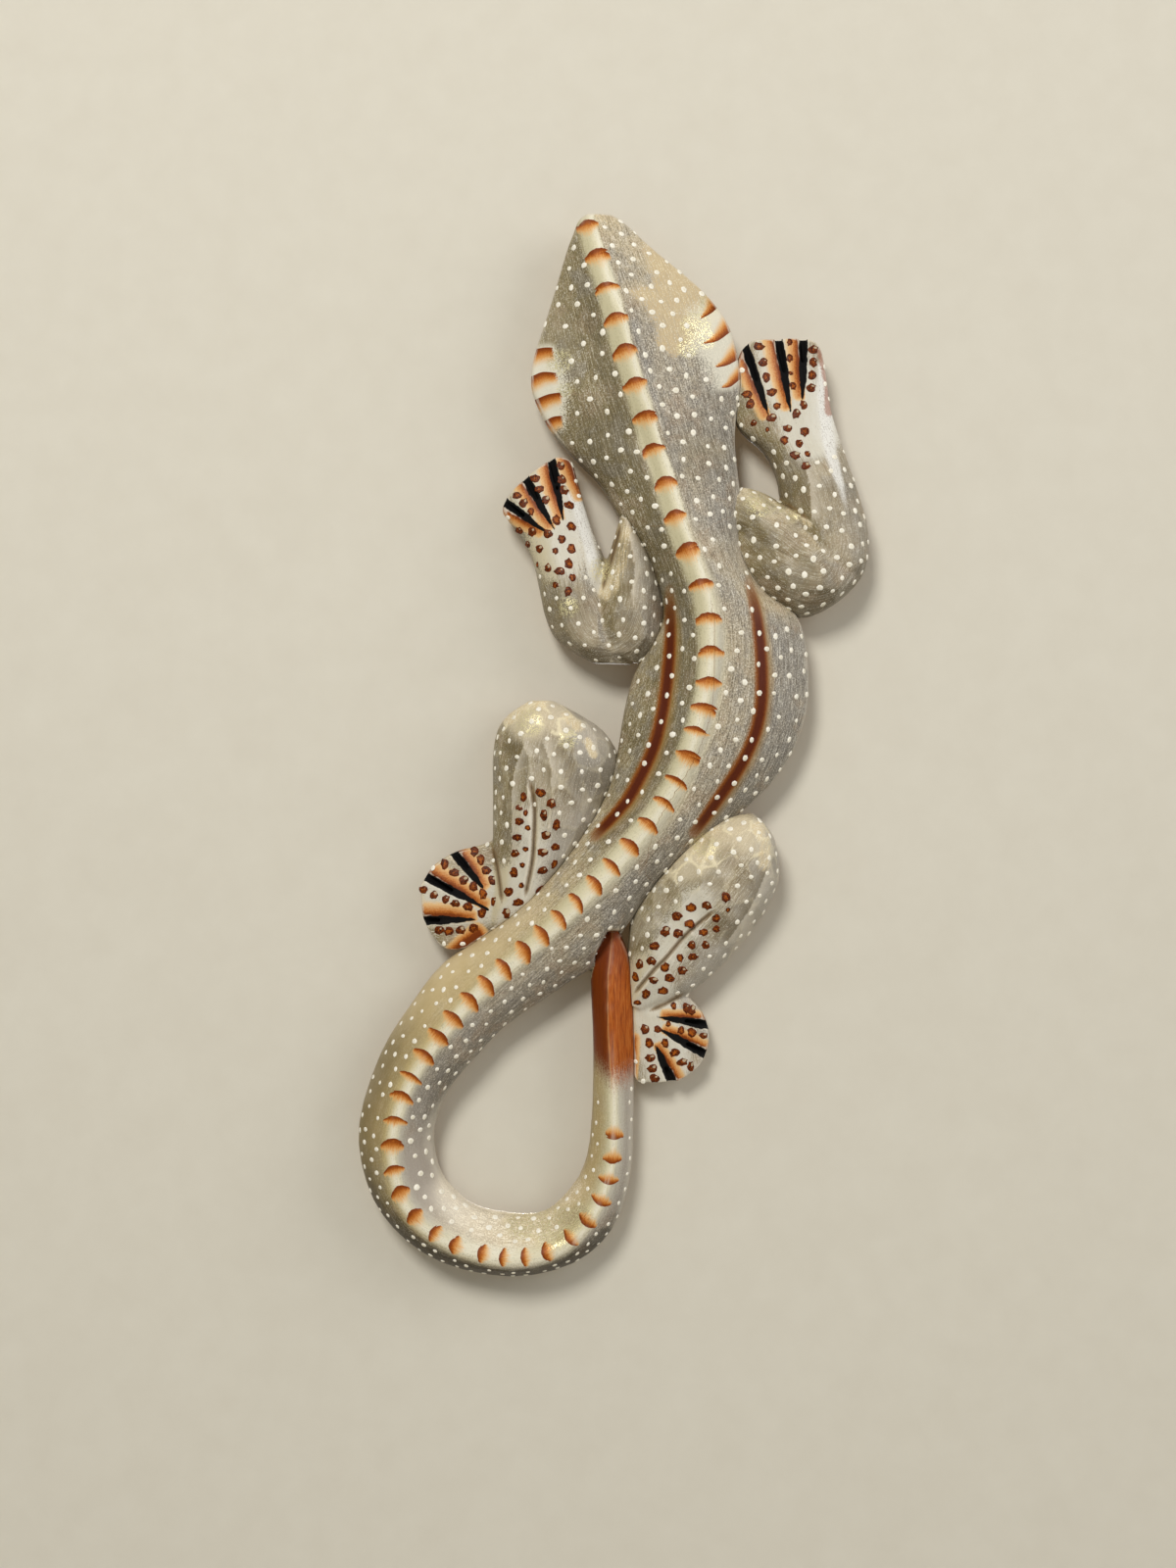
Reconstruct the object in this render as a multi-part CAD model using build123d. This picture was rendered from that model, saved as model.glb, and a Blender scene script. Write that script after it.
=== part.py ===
"""A carved and painted wooden gecko that hangs flat on a wall, head up, with its tail in a loop.

X points right and Z up as the gecko is seen on the wall, and its front faces -Y.  The flat back
is the plane Y = 0.  The origin is on the back, at the point where the hanging ring is hooked.
The body, from the nose to the tip of the tail, is carved from one board.  Each leg is carved by
itself, scribed to the side of the body, glued to it and held by two wooden pegs.
"""

import os
from math import cos, hypot, radians, sin

from build123d import *

# Height of the ridge of the relief above the back, mm
NOSE_HEIGHT = 15.0
HEAD_HEIGHT = 30.0
NECK_HEIGHT = 29.0
TRUNK_HEIGHT = 36.0
HIP_HEIGHT = 33.0
TAIL_HEIGHT = 28.0
TAIL_BEND_HEIGHT = 23.0
TAIL_END_HEIGHT = 19.0
TAIL_TIP_HEIGHT = 10.0
UPPER_ARM_HEIGHT = 24.0
FOREARM_HEIGHT = 21.0
HAND_HEIGHT = 13.0
THIGH_HEIGHT = 27.0
SHIN_HEIGHT = 18.0
FOOT_HEIGHT = 12.0
DIGIT_TIP_HEIGHT = 9.0

# Side walls
BODY_RIM_HEIGHT = 10.0
LEG_RIM_HEIGHT = 8.0
WALL_INSET = 0.8        # the wall leans in by this much between the back and the rim
SPARE_DEPTH = 3.0       # stock below the back, planed off at the end
CUTS_PER_SECTION = 3    # flat cuts of the knife from one section to the next

# Raised band along the spine
BAND_HALF_WIDTH = 6.4
BAND_RISE = 2.6
BAND_SHARE = 0.33       # on a narrow section, the band takes this share of the width

# How far a flank bows out, as a share of its width
FACET_BULGE = 0.02
BODY_BULGE = 0.10
LEG_BULGE = 0.20

# Slit that frees the tip of the tail from the root beside it
TIP_SLIT = 0.5

# Grooves between the digits
GROOVE_FLOOR = 4.0      # wood left behind a groove
GROOVE_WIDTH = 3.4      # at the mouth

# Wooden pegs that hold the legs
PEG_DIAMETER = 5.0
PEG_LENGTH = 24.0
PEG_AXIS_HEIGHT = 5.0
PEG_FIT = 0.05          # glue film all round
PEG_END_GAP = 0.5

# Hanger: a steel strap with a rolled eye, a ring in the eye, and two screws
STRAP_WIDTH = 10.0
STRAP_THICKNESS = 1.0
STRAP_LENGTH = 20.0     # from the hinge line to the lower end
RING_WIRE = 2.0
RING_INNER_WIDTH = 14.0
RING_INNER_HEIGHT = 13.0
RING_CORNER_RADIUS = 2.5
HINGE_CLEARANCE = 0.08
SCREW_DIAMETER = 3.0
SCREW_LENGTH = 12.0
SCREW_HEAD_DIAMETER = 6.0
SCREW_HEAD_HEIGHT = 1.8
SCREW_FIT = 0.1
SCREW_EDGE = 4.5        # from the end of the strap to the lower screw
SCREW_PITCH = 8.5

# A section is cut across the carving: left edge (x, z) and right edge (x, z) on the back, the
# ridge's share of the width from the left, the ridge's height and the bulge of the flanks.
# Body, from the nose along the spine to the left bend of the tail
BODY_SECTIONS = [
    ((-22.0, 24.5), (-9.5, 25.0), 0.20, NOSE_HEIGHT - 3, FACET_BULGE),
    ((-26.0, 21.5), (-4.0, 21.5), 0.26, NOSE_HEIGHT, FACET_BULGE),
    ((-28.5, 15.0), (2.5, 16.0), 0.32, NOSE_HEIGHT + 4, FACET_BULGE),
    ((-31.5, 7.0), (11.0, 8.0), 0.36, HEAD_HEIGHT - 8, FACET_BULGE),
    ((-36.5, -10.0), (31.5, -9.0), 0.37, HEAD_HEIGHT - 3, FACET_BULGE),
    ((-41.0, -24.5), (44.5, -24.5), 0.41, HEAD_HEIGHT, FACET_BULGE),
    ((-46.5, -41.5), (50.0, -40.5), 0.46, HEAD_HEIGHT, FACET_BULGE),
    ((-48.0, -54.0), (51.5, -55.0), 0.50, HEAD_HEIGHT, FACET_BULGE),
    ((-45.0, -64.5), (50.0, -67.0), 0.53, HEAD_HEIGHT, FACET_BULGE),
    ((-37.5, -78.0), (49.0, -80.5), 0.55, NECK_HEIGHT, FACET_BULGE),
    ((-26.0, -91.0), (50.0, -93.5), 0.53, NECK_HEIGHT, BODY_BULGE),
    ((-15.0, -102.5), (51.5, -107.0), 0.50, NECK_HEIGHT + 1, BODY_BULGE),
    ((-5.0, -120.0), (51.5, -125.5), 0.49, NECK_HEIGHT + 3, BODY_BULGE),
    ((5.5, -136.0), (56.0, -140.5), 0.46, TRUNK_HEIGHT - 2, BODY_BULGE),
    ((11.5, -151.0), (64.5, -153.0), 0.40, TRUNK_HEIGHT, BODY_BULGE),
    ((13.5, -166.0), (77.5, -163.0), 0.34, TRUNK_HEIGHT, BODY_BULGE),
    ((5.0, -181.0), (83.0, -181.0), 0.39, TRUNK_HEIGHT, BODY_BULGE),
    ((-1.5, -198.0), (82.5, -210.0), 0.40, TRUNK_HEIGHT, BODY_BULGE),
    ((-5.0, -214.0), (70.5, -237.0), 0.42, TRUNK_HEIGHT, BODY_BULGE),
    ((-8.5, -233.0), (47.0, -261.0), 0.46, HIP_HEIGHT, BODY_BULGE),
    ((-20.0, -259.5), (12.5, -290.0), 0.50, HIP_HEIGHT - 2, BODY_BULGE),
    ((-42.5, -289.0), (-10.5, -322.0), 0.41, HIP_HEIGHT - 3, BODY_BULGE),
    ((-66.0, -311.0), (-38.0, -342.5), 0.42, TAIL_HEIGHT, BODY_BULGE),
    ((-89.0, -327.0), (-59.0, -357.0), 0.49, TAIL_HEIGHT, BODY_BULGE),
    ((-104.5, -346.5), (-72.5, -371.0), 0.50, TAIL_HEIGHT, BODY_BULGE),
    ((-119.0, -370.0), (-86.0, -387.0), 0.50, TAIL_HEIGHT - 1, BODY_BULGE),
    ((-129.0, -402.5), (-93.0, -405.5), 0.49, TAIL_HEIGHT - 2, BODY_BULGE),
]
# Tail, from the left bend, round the bottom of the loop and up to the tip
TAIL_SECTIONS = [
    ((-125.5, -430.0), (-91.0, -422.5), 0.44, TAIL_BEND_HEIGHT + 2, BODY_BULGE),
    ((-113.0, -451.5), (-85.0, -433.0), 0.40, TAIL_BEND_HEIGHT + 1, BODY_BULGE),
    ((-90.0, -468.0), (-73.0, -442.0), 0.38, TAIL_BEND_HEIGHT, BODY_BULGE),
    ((-56.5, -475.0), (-54.5, -445.5), 0.35, TAIL_BEND_HEIGHT, FACET_BULGE),
    ((-27.0, -468.5), (-41.5, -444.5), 0.40, TAIL_BEND_HEIGHT, FACET_BULGE),
    ((-8.5, -452.0), (-31.5, -436.5), 0.47, TAIL_BEND_HEIGHT - 1, BODY_BULGE),
    ((-0.5, -428.0), (-23.0, -423.5), 0.48, TAIL_END_HEIGHT + 1, BODY_BULGE),
    ((1.0, -404.0), (-19.5, -404.0), 0.48, TAIL_END_HEIGHT, BODY_BULGE),
    ((1.5, -369.5), (-18.5, -369.5), 0.54, TAIL_END_HEIGHT, FACET_BULGE),
    ((0.5, -338.0), (-19.5, -338.0), 0.55, TAIL_END_HEIGHT - 2, FACET_BULGE),
    ((-1.5, -322.0), (-17.0, -322.5), 0.51, TAIL_TIP_HEIGHT + 3, FACET_BULGE),
    ((-6.5, -312.0), (-11.5, -312.0), 0.50, TAIL_TIP_HEIGHT, FACET_BULGE),
]
TIP_SECTION_COUNT = 3   # the last sections of the tail lie beside its root

# Legs: each is one or two lobes of sections that run into each other and into the body
RIGHT_UPPER_ARM = [
    ((47.0, -102.0), (50.0, -146.0), 0.50, UPPER_ARM_HEIGHT - 12, LEG_BULGE),
    ((59.0, -104.0), (62.5, -158.0), 0.50, UPPER_ARM_HEIGHT - 3, LEG_BULGE),
    ((71.5, -111.0), (79.0, -165.0), 0.52, UPPER_ARM_HEIGHT, LEG_BULGE),
    ((82.5, -123.5), (95.0, -159.0), 0.55, UPPER_ARM_HEIGHT, LEG_BULGE),
    ((95.0, -134.0), (106.0, -149.5), 0.55, UPPER_ARM_HEIGHT - 6, LEG_BULGE),
]
RIGHT_FOREARM = [
    ((83.0, -152.0), (102.0, -153.5), 0.50, FOREARM_HEIGHT - 5, LEG_BULGE),
    ((76.0, -130.0), (110.5, -142.5), 0.50, FOREARM_HEIGHT, LEG_BULGE),
    ((70.0, -109.5), (112.0, -125.5), 0.50, FOREARM_HEIGHT, LEG_BULGE),
    ((68.0, -98.5), (108.0, -108.5), 0.50, FOREARM_HEIGHT - 1, LEG_BULGE),
    ((62.0, -86.5), (101.5, -89.5), 0.50, FOREARM_HEIGHT - 4, LEG_BULGE),
    ((51.0, -76.5), (97.0, -76.0), 0.55, HAND_HEIGHT + 2, LEG_BULGE / 2),
    ((47.0, -66.0), (94.0, -65.0), 0.60, HAND_HEIGHT, LEG_BULGE / 2),
    ((48.0, -50.0), (92.0, -50.0), 0.60, HAND_HEIGHT - 1, FACET_BULGE),
    ((51.5, -38.0), (89.0, -37.0), 0.50, DIGIT_TIP_HEIGHT + 1, FACET_BULGE),
    ((57.0, -33.8), (83.0, -33.2), 0.50, DIGIT_TIP_HEIGHT, FACET_BULGE),
]
LEFT_UPPER_ARM = [
    ((-5.0, -113.0), (-0.5, -117.5), 0.50, UPPER_ARM_HEIGHT - 10, LEG_BULGE),
    ((-8.0, -124.0), (6.5, -132.0), 0.50, UPPER_ARM_HEIGHT - 4, LEG_BULGE),
    ((-11.0, -134.0), (12.5, -146.0), 0.45, UPPER_ARM_HEIGHT - 1, LEG_BULGE),
    ((-16.0, -147.0), (16.0, -162.0), 0.45, UPPER_ARM_HEIGHT, LEG_BULGE),
    ((-19.5, -163.0), (13.5, -178.5), 0.48, UPPER_ARM_HEIGHT - 1, LEG_BULGE),
    ((-21.0, -178.0), (5.0, -187.0), 0.50, UPPER_ARM_HEIGHT - 7, LEG_BULGE),
]
LEFT_FOREARM = [
    ((-18.0, -186.0), (0.0, -186.5), 0.50, FOREARM_HEIGHT - 6, LEG_BULGE),
    ((-34.5, -176.5), (-3.0, -175.0), 0.50, FOREARM_HEIGHT - 1, LEG_BULGE),
    ((-41.0, -164.5), (-9.0, -161.0), 0.50, FOREARM_HEIGHT, LEG_BULGE),
    ((-44.0, -151.0), (-13.0, -149.5), 0.50, FOREARM_HEIGHT - 1, LEG_BULGE),
    ((-47.0, -138.0), (-12.5, -137.0), 0.52, FOREARM_HEIGHT - 4, LEG_BULGE),
    ((-52.0, -127.5), (-17.5, -125.0), 0.55, HAND_HEIGHT + 2, LEG_BULGE / 2),
    ((-58.0, -119.5), (-22.0, -111.0), 0.60, HAND_HEIGHT, LEG_BULGE / 2),
    ((-61.5, -113.5), (-25.5, -99.0), 0.60, HAND_HEIGHT - 1, FACET_BULGE),
    ((-58.0, -106.5), (-28.5, -90.0), 0.50, DIGIT_TIP_HEIGHT + 1, FACET_BULGE),
    ((-50.0, -98.5), (-36.0, -88.5), 0.50, DIGIT_TIP_HEIGHT, FACET_BULGE),
]
LEFT_THIGH = [
    ((-49.0, -204.0), (-36.0, -204.0), 0.50, THIGH_HEIGHT - 9, LEG_BULGE),
    ((-58.5, -210.0), (-24.5, -210.0), 0.50, THIGH_HEIGHT - 3, LEG_BULGE),
    ((-64.0, -218.0), (-13.0, -218.0), 0.50, THIGH_HEIGHT - 1, LEG_BULGE),
    ((-66.0, -230.0), (-6.0, -230.0), 0.48, THIGH_HEIGHT, LEG_BULGE),
    ((-66.0, -243.0), (-7.5, -243.0), 0.46, THIGH_HEIGHT, LEG_BULGE),
    ((-66.0, -257.0), (-14.0, -257.0), 0.44, THIGH_HEIGHT - 2, LEG_BULGE),
    ((-66.0, -271.0), (-22.0, -271.0), 0.42, SHIN_HEIGHT + 4, LEG_BULGE),
    ((-66.5, -285.0), (-32.0, -285.0), 0.42, SHIN_HEIGHT + 1, LEG_BULGE),
    ((-67.0, -298.0), (-43.0, -298.0), 0.45, SHIN_HEIGHT - 2, LEG_BULGE),
    ((-68.0, -312.0), (-56.0, -312.0), 0.50, FOOT_HEIGHT - 1, LEG_BULGE),
]
LEFT_FOOT = [
    ((-60.0, -267.0), (-50.0, -303.0), 0.50, SHIN_HEIGHT - 4, FACET_BULGE),
    ((-71.5, -271.5), (-66.0, -317.0), 0.50, FOOT_HEIGHT, FACET_BULGE),
    ((-83.0, -274.5), (-81.0, -321.5), 0.50, FOOT_HEIGHT, FACET_BULGE),
    ((-93.5, -281.0), (-90.5, -319.5), 0.50, DIGIT_TIP_HEIGHT + 1, FACET_BULGE),
    ((-99.5, -290.0), (-98.5, -307.0), 0.50, DIGIT_TIP_HEIGHT, FACET_BULGE),
]
RIGHT_THIGH = [
    ((56.5, -256.5), (63.0, -262.5), 0.50, THIGH_HEIGHT - 10, LEG_BULGE),
    ((44.5, -258.0), (67.5, -269.0), 0.50, THIGH_HEIGHT - 3, LEG_BULGE),
    ((33.0, -263.0), (70.0, -280.5), 0.50, THIGH_HEIGHT, LEG_BULGE),
    ((22.0, -271.5), (69.0, -291.0), 0.52, THIGH_HEIGHT, LEG_BULGE),
    ((12.5, -282.0), (62.5, -304.5), 0.54, THIGH_HEIGHT - 2, LEG_BULGE),
    ((4.5, -293.0), (52.5, -318.0), 0.55, SHIN_HEIGHT + 4, LEG_BULGE),
    ((-0.5, -305.0), (42.0, -329.5), 0.55, SHIN_HEIGHT + 2, LEG_BULGE),
    ((-2.0, -319.0), (32.5, -338.0), 0.55, SHIN_HEIGHT, LEG_BULGE),
    ((-3.0, -334.0), (22.0, -345.0), 0.55, SHIN_HEIGHT - 3, LEG_BULGE),
    ((-3.0, -346.0), (6.0, -350.0), 0.50, FOOT_HEIGHT - 1, LEG_BULGE),
]
RIGHT_FOOT = [
    ((-3.0, -334.0), (24.5, -340.5), 0.50, SHIN_HEIGHT - 4, FACET_BULGE),
    ((-3.0, -349.0), (33.5, -350.5), 0.50, FOOT_HEIGHT, FACET_BULGE),
    ((-3.0, -363.0), (37.0, -363.0), 0.50, FOOT_HEIGHT, FACET_BULGE),
    ((-3.0, -375.0), (32.5, -375.5), 0.50, DIGIT_TIP_HEIGHT + 1, FACET_BULGE),
    ((2.5, -383.5), (22.0, -383.0), 0.50, DIGIT_TIP_HEIGHT, FACET_BULGE),
]

# Each leg: its lobes, its grooves as (apex, mouth), and its pegs as (point on the seam,
# direction of the axis into the leg in degrees from +X towards +Z)
LEGS = {
    "fore_leg_left": (
        [LEFT_UPPER_ARM, LEFT_FOREARM],
        [((-32.7, -117.0), (-38.5, -87.0)), ((-37.5, -121.5), (-52.5, -95.0)),
         ((-42.0, -123.5), (-62.5, -108.5))],
        [((8.5, -141.0), 200), ((13.0, -167.0), 180)],
    ),
    "fore_leg_right": (
        [RIGHT_UPPER_ARM, RIGHT_FOREARM],
        [((63.9, -69.5), (52.0, -34.0)), ((74.0, -65.8), (68.5, -32.0)),
         ((80.0, -61.0), (80.5, -32.0))],
        [((51.5, -122.0), 0), ((64.5, -154.0), 48)],
    ),
    "hind_leg_left": (
        [LEFT_THIGH, LEFT_FOOT],
        [((-70.0, -291.5), (-86.0, -272.5)), ((-69.5, -301.0), (-100.5, -284.5)),
         ((-74.5, -306.5), (-100.5, -307.0))],
        [((-11.5, -243.0), 158), ((-30.0, -276.5), 144)],
    ),
    "hind_leg_right": (
        [RIGHT_THIGH, RIGHT_FOOT],
        [((14.3, -352.5), (38.0, -356.5)), ((14.7, -359.0), (37.5, -371.5)),
         ((11.0, -366.0), (20.5, -386.0))],
        [((41.5, -263.5), 297), ((17.5, -283.5), 320)],
    ),
}


def cross_section(left, right, ridge_share, ridge_height, bulge, rim_height, band):
    """A closed outline across the carving: bottom, walls, bowed flanks and, if asked, the band."""
    width = hypot(right[0] - left[0], right[1] - left[1])
    across = ((right[0] - left[0]) / width, (right[1] - left[1]) / width)

    def at(distance, height):
        return Vector(left[0] + across[0] * distance, -height, left[1] + across[1] * distance)

    ridge = width * ridge_share
    band_half = min(BAND_HALF_WIDTH, BAND_SHARE * width / 2) if band else 0.0
    foot_height = ridge_height - BAND_RISE * band_half / BAND_HALF_WIDTH

    def flank(rim, foot):
        """A bowed line from the rim up to the foot of the band, or to the ridge."""
        inward = 1 if foot > rim else -1
        bow = Vector(-inward * (foot_height - rim_height), abs(foot - rim)) * bulge
        middle = at((rim + foot) / 2 + bow.X, (rim_height + foot_height) / 2 + bow.Y)
        return Edge.make_three_point_arc(at(rim, rim_height), middle, at(foot, foot_height))

    left_rim, right_rim = WALL_INSET, width - WALL_INSET
    edges = [
        Edge.make_line(at(width, -SPARE_DEPTH), at(0, -SPARE_DEPTH)),
        Edge.make_line(at(0, -SPARE_DEPTH), at(left_rim, rim_height)),
        flank(left_rim, ridge - band_half),
        flank(right_rim, ridge + band_half),
        Edge.make_line(at(right_rim, rim_height), at(width, -SPARE_DEPTH)),
    ]
    if band:
        crown = Edge.make_three_point_arc(
            at(ridge - band_half, foot_height),
            at(ridge, ridge_height),
            at(ridge + band_half, foot_height),
        )
        edges.insert(3, crown)
    return Wire(edges)


def smoothed(sections):
    """The sections with others between them, on smooth curves through every value."""
    rows = [(*left, *right, *rest) for left, right, *rest in sections]
    rows = [rows[0], *rows, rows[-1]]
    for before, start, end, after in zip(rows, rows[1:], rows[2:], rows[3:]):
        for step in range(CUTS_PER_SECTION):
            t = step / CUTS_PER_SECTION
            row = [
                q + t * ((r - o) + t * ((2 * o - 5 * q + 4 * r - s) + t * (3 * q - o - 3 * r + s))) / 2
                for o, q, r, s in zip(before, start, end, after)
            ]
            yield (row[0], row[1]), (row[2], row[3]), *row[4:]
    left, right, *rest = sections[-1]
    yield left, right, *rest


def lobe(cuts, rim_height, band=False):
    """A mass through a run of cuts, with its back planed flat."""
    wires = [cross_section(*cut, rim_height, band) for cut in cuts]
    return split(Solid.make_loft(wires, ruled=True), bisect_by=Plane.XZ, keep=Keep.TOP)


def carved_body():
    """The body up to the left bend, less the room for the tip of the tail, and the tail."""
    cuts = list(smoothed(BODY_SECTIONS + TAIL_SECTIONS))
    bend = CUTS_PER_SECTION * (len(BODY_SECTIONS) - 1)
    front = lobe(cuts[:bend + 1], BODY_RIM_HEIGHT, band=True) - tip_slot()
    return front + lobe(cuts[bend:], BODY_RIM_HEIGHT, band=True)


def prism(points, near, far):
    """A column on an outline of (x, z) points, from the height near to the height far."""
    outline = Polyline([(x, -near, z) for x, z in points], close=True)
    return extrude(make_face(outline), amount=far - near, dir=(0, -1, 0))


def tip_slot():
    """The room for the tip of the tail and its slit, taken out of the root beside it."""
    tip = TAIL_SECTIONS[-TIP_SECTION_COUNT:]
    outer = [left for left, *_ in tip]
    inner = [right for _, right, *_ in tip]
    face = make_face(Polyline([(x, 0, z) for x, z in outer + inner[::-1]], close=True))
    return extrude(offset(face, TIP_SLIT, kind=Kind.INTERSECTION),
                   amount=TRUNK_HEIGHT * 2, both=True)


def groove(apex, mouth):
    """A wedge of air between two digits."""
    run = Vector(mouth[0] - apex[0], mouth[1] - apex[1])
    half = run.normalized().rotate(Axis.Z, 90) * (GROOVE_WIDTH / 2)
    corners = [apex, (mouth[0] + half.X, mouth[1] + half.Y), (mouth[0] - half.X, mouth[1] - half.Y)]
    return prism(corners, GROOVE_FLOOR, THIGH_HEIGHT)


def peg(seam, angle, fit=0.0, end_gap=0.0):
    """A peg through the seam; with a fit and an end gap, the hole for it."""
    direction = Vector(cos(radians(angle)), 0, sin(radians(angle)))
    length = PEG_LENGTH + 2 * end_gap
    start = Vector(seam[0], -PEG_AXIS_HEIGHT, seam[1]) - direction * (length / 2)
    return Solid.make_cylinder(PEG_DIAMETER / 2 + fit, length, Plane(start, z_dir=direction))


# The ring hangs from the origin, so its wire passes just above it
hinge_bore = RING_WIRE / 2 + HINGE_CLEARANCE
eye_radius = hinge_bore + STRAP_THICKNESS
hinge_z = -RING_INNER_HEIGHT - RING_WIRE / 2
strap_end = hinge_z - STRAP_LENGTH
screw_heights = [strap_end + SCREW_EDGE, strap_end + SCREW_EDGE + SCREW_PITCH]


def screw(z):
    shank = Solid.make_cylinder(SCREW_DIAMETER / 2, SCREW_LENGTH, Plane((0, STRAP_THICKNESS, z),
                                                                        z_dir=(0, -1, 0)))
    head = Solid.make_cylinder(SCREW_HEAD_DIAMETER / 2, SCREW_HEAD_HEIGHT,
                               Plane((0, STRAP_THICKNESS, z), z_dir=(0, 1, 0)))
    return shank + fillet(head.edges().group_by(Axis.Y)[-1], SCREW_HEAD_HEIGHT / 2)


def screw_hole(z, depth):
    """A hole for a screw, from behind the strap to a depth below the back."""
    start = Plane((0, STRAP_THICKNESS, z), z_dir=(0, -1, 0))
    return Solid.make_cylinder(SCREW_DIAMETER / 2 + SCREW_FIT, STRAP_THICKNESS + depth, start)


def strap():
    across = Plane((-STRAP_WIDTH / 2, eye_radius, hinge_z), z_dir=(1, 0, 0))
    eye = Solid.make_cylinder(eye_radius, STRAP_WIDTH, across)
    bore = Solid.make_cylinder(hinge_bore, STRAP_WIDTH, across)
    plate = Pos(0, STRAP_THICKNESS / 2, hinge_z - STRAP_LENGTH / 2) * Box(
        STRAP_WIDTH, STRAP_THICKNESS, STRAP_LENGTH)
    body = (plate + eye) - bore
    for z in screw_heights:
        body -= screw_hole(z, 0)
    return body


def ring():
    """A D of wire: a bar through the eye, two corners, two sides and a half-round top."""
    side = (RING_INNER_WIDTH + RING_WIRE) / 2
    shoulder = RING_WIRE / 2 - side
    cut_in = RING_CORNER_RADIUS * (1 - cos(radians(45)))

    def at(x, z):
        return Vector(x, eye_radius, z)

    def corner(sign):
        return Edge.make_three_point_arc(
            at(sign * (side - RING_CORNER_RADIUS), hinge_z),
            at(sign * (side - cut_in), hinge_z + cut_in),
            at(sign * side, hinge_z + RING_CORNER_RADIUS),
        )

    bar_end = side - RING_CORNER_RADIUS
    path = Wire([
        Edge.make_line(at(-bar_end, hinge_z), at(bar_end, hinge_z)),
        corner(1),
        Edge.make_line(at(side, hinge_z + RING_CORNER_RADIUS), at(side, shoulder)),
        Edge.make_three_point_arc(at(side, shoulder), at(0, shoulder + side), at(-side, shoulder)),
        Edge.make_line(at(-side, shoulder), at(-side, hinge_z + RING_CORNER_RADIUS)),
        corner(-1),
    ])
    profile = Plane(at(0, hinge_z), z_dir=(1, 0, 0)) * Circle(RING_WIRE / 2)
    return sweep(profile, path=path)


def carved_leg(board, lobes, grooves, peg_holes):
    """A leg scribed to the body, with its grooves and the holes for its pegs."""
    upper, lower = [lobe(smoothed(sections), LEG_RIM_HEIGHT) for sections in lobes]
    leg = upper + lower - board
    for apex, mouth in grooves:
        leg -= groove(apex, mouth)
    for hole in peg_holes:
        leg -= hole
    return leg


def build():
    board = carved_body()
    parts = {}
    all_peg_holes = []
    for name, (lobes, grooves, pegs) in LEGS.items():
        peg_holes = [peg(*place, fit=PEG_FIT, end_gap=PEG_END_GAP) for place in pegs]
        parts[name] = carved_leg(board, lobes, grooves, peg_holes)
        for number, place in enumerate(pegs, 1):
            parts[f"{name}_peg_{number}"] = peg(*place)
        all_peg_holes += peg_holes
    for hole in all_peg_holes:
        board -= hole
    for number, z in enumerate(screw_heights, 1):
        board -= screw_hole(z, SCREW_LENGTH + PEG_END_GAP)
        parts[f"hanger_screw_{number}"] = screw(z)
    parts["body_board"] = board
    parts["hanger_strap"] = strap()
    parts["hanger_ring"] = ring()
    return parts


os.makedirs("parts", exist_ok=True)
for name, solid in build().items():
    export_step(solid, f"parts/{name}.step")
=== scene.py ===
"""The looks of the carved gecko: wood skins over the solids, paint, raised dots and the hanger."""

import math
import random

import bmesh
import bpy
import numpy as np
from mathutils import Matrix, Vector, noise
from mathutils.bvhtree import BVHTree


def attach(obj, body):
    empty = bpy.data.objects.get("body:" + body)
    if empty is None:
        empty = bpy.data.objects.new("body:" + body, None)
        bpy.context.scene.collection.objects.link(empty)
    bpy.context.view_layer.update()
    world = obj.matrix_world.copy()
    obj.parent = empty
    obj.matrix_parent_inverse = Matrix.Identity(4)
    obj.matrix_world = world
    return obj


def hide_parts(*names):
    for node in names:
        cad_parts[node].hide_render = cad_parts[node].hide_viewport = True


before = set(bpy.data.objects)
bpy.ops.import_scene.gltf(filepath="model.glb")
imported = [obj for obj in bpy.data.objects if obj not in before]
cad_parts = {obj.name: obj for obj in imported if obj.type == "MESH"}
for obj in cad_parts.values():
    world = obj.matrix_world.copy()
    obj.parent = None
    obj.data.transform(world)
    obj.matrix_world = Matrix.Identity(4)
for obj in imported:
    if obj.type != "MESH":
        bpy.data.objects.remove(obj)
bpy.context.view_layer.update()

MM = 0.001

# Voxel of each skin, mm
BODY_GRAIN = 1.2
LEG_GRAIN = 0.8
METAL_GRAIN = 0.22
# What is cut and pressed into the skins, mm
WOOD_LEFT = 2.0             # over the back, under every cut
STRIPE_DEPTH, STRIPE_WIDTH = 0.35, 1.7
BODY_KNIFE, LEG_KNIFE = 0.28, 0.25
SCOOP_SIZE, SCOOP_DEPTH = 11.0, 1.3
CROSS_HALF, CROSS_REACH, CROSS_DEPTH = 0.35, 1.6, 0.9
SCREW_HEAD = 1.2
# Raised dots of paint, mm
WHITE_DOT = {"across": 2.85, "height": 0.42, "ragged": 0.07}
BROWN_DOT = {"across": 4.55, "height": 0.3, "ragged": 0.16}
LEG_DOT_SPACING = 6.8
GRAIN_OF_POWDER = 0.42
# Colours in more than one paint; the last is painted shade in the hollows
GOLD_GRAIN, WORN_EDGE, HOLLOW_SHADE = "ECE2B0", "DCD3C0", "4A3F2E"

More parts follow.
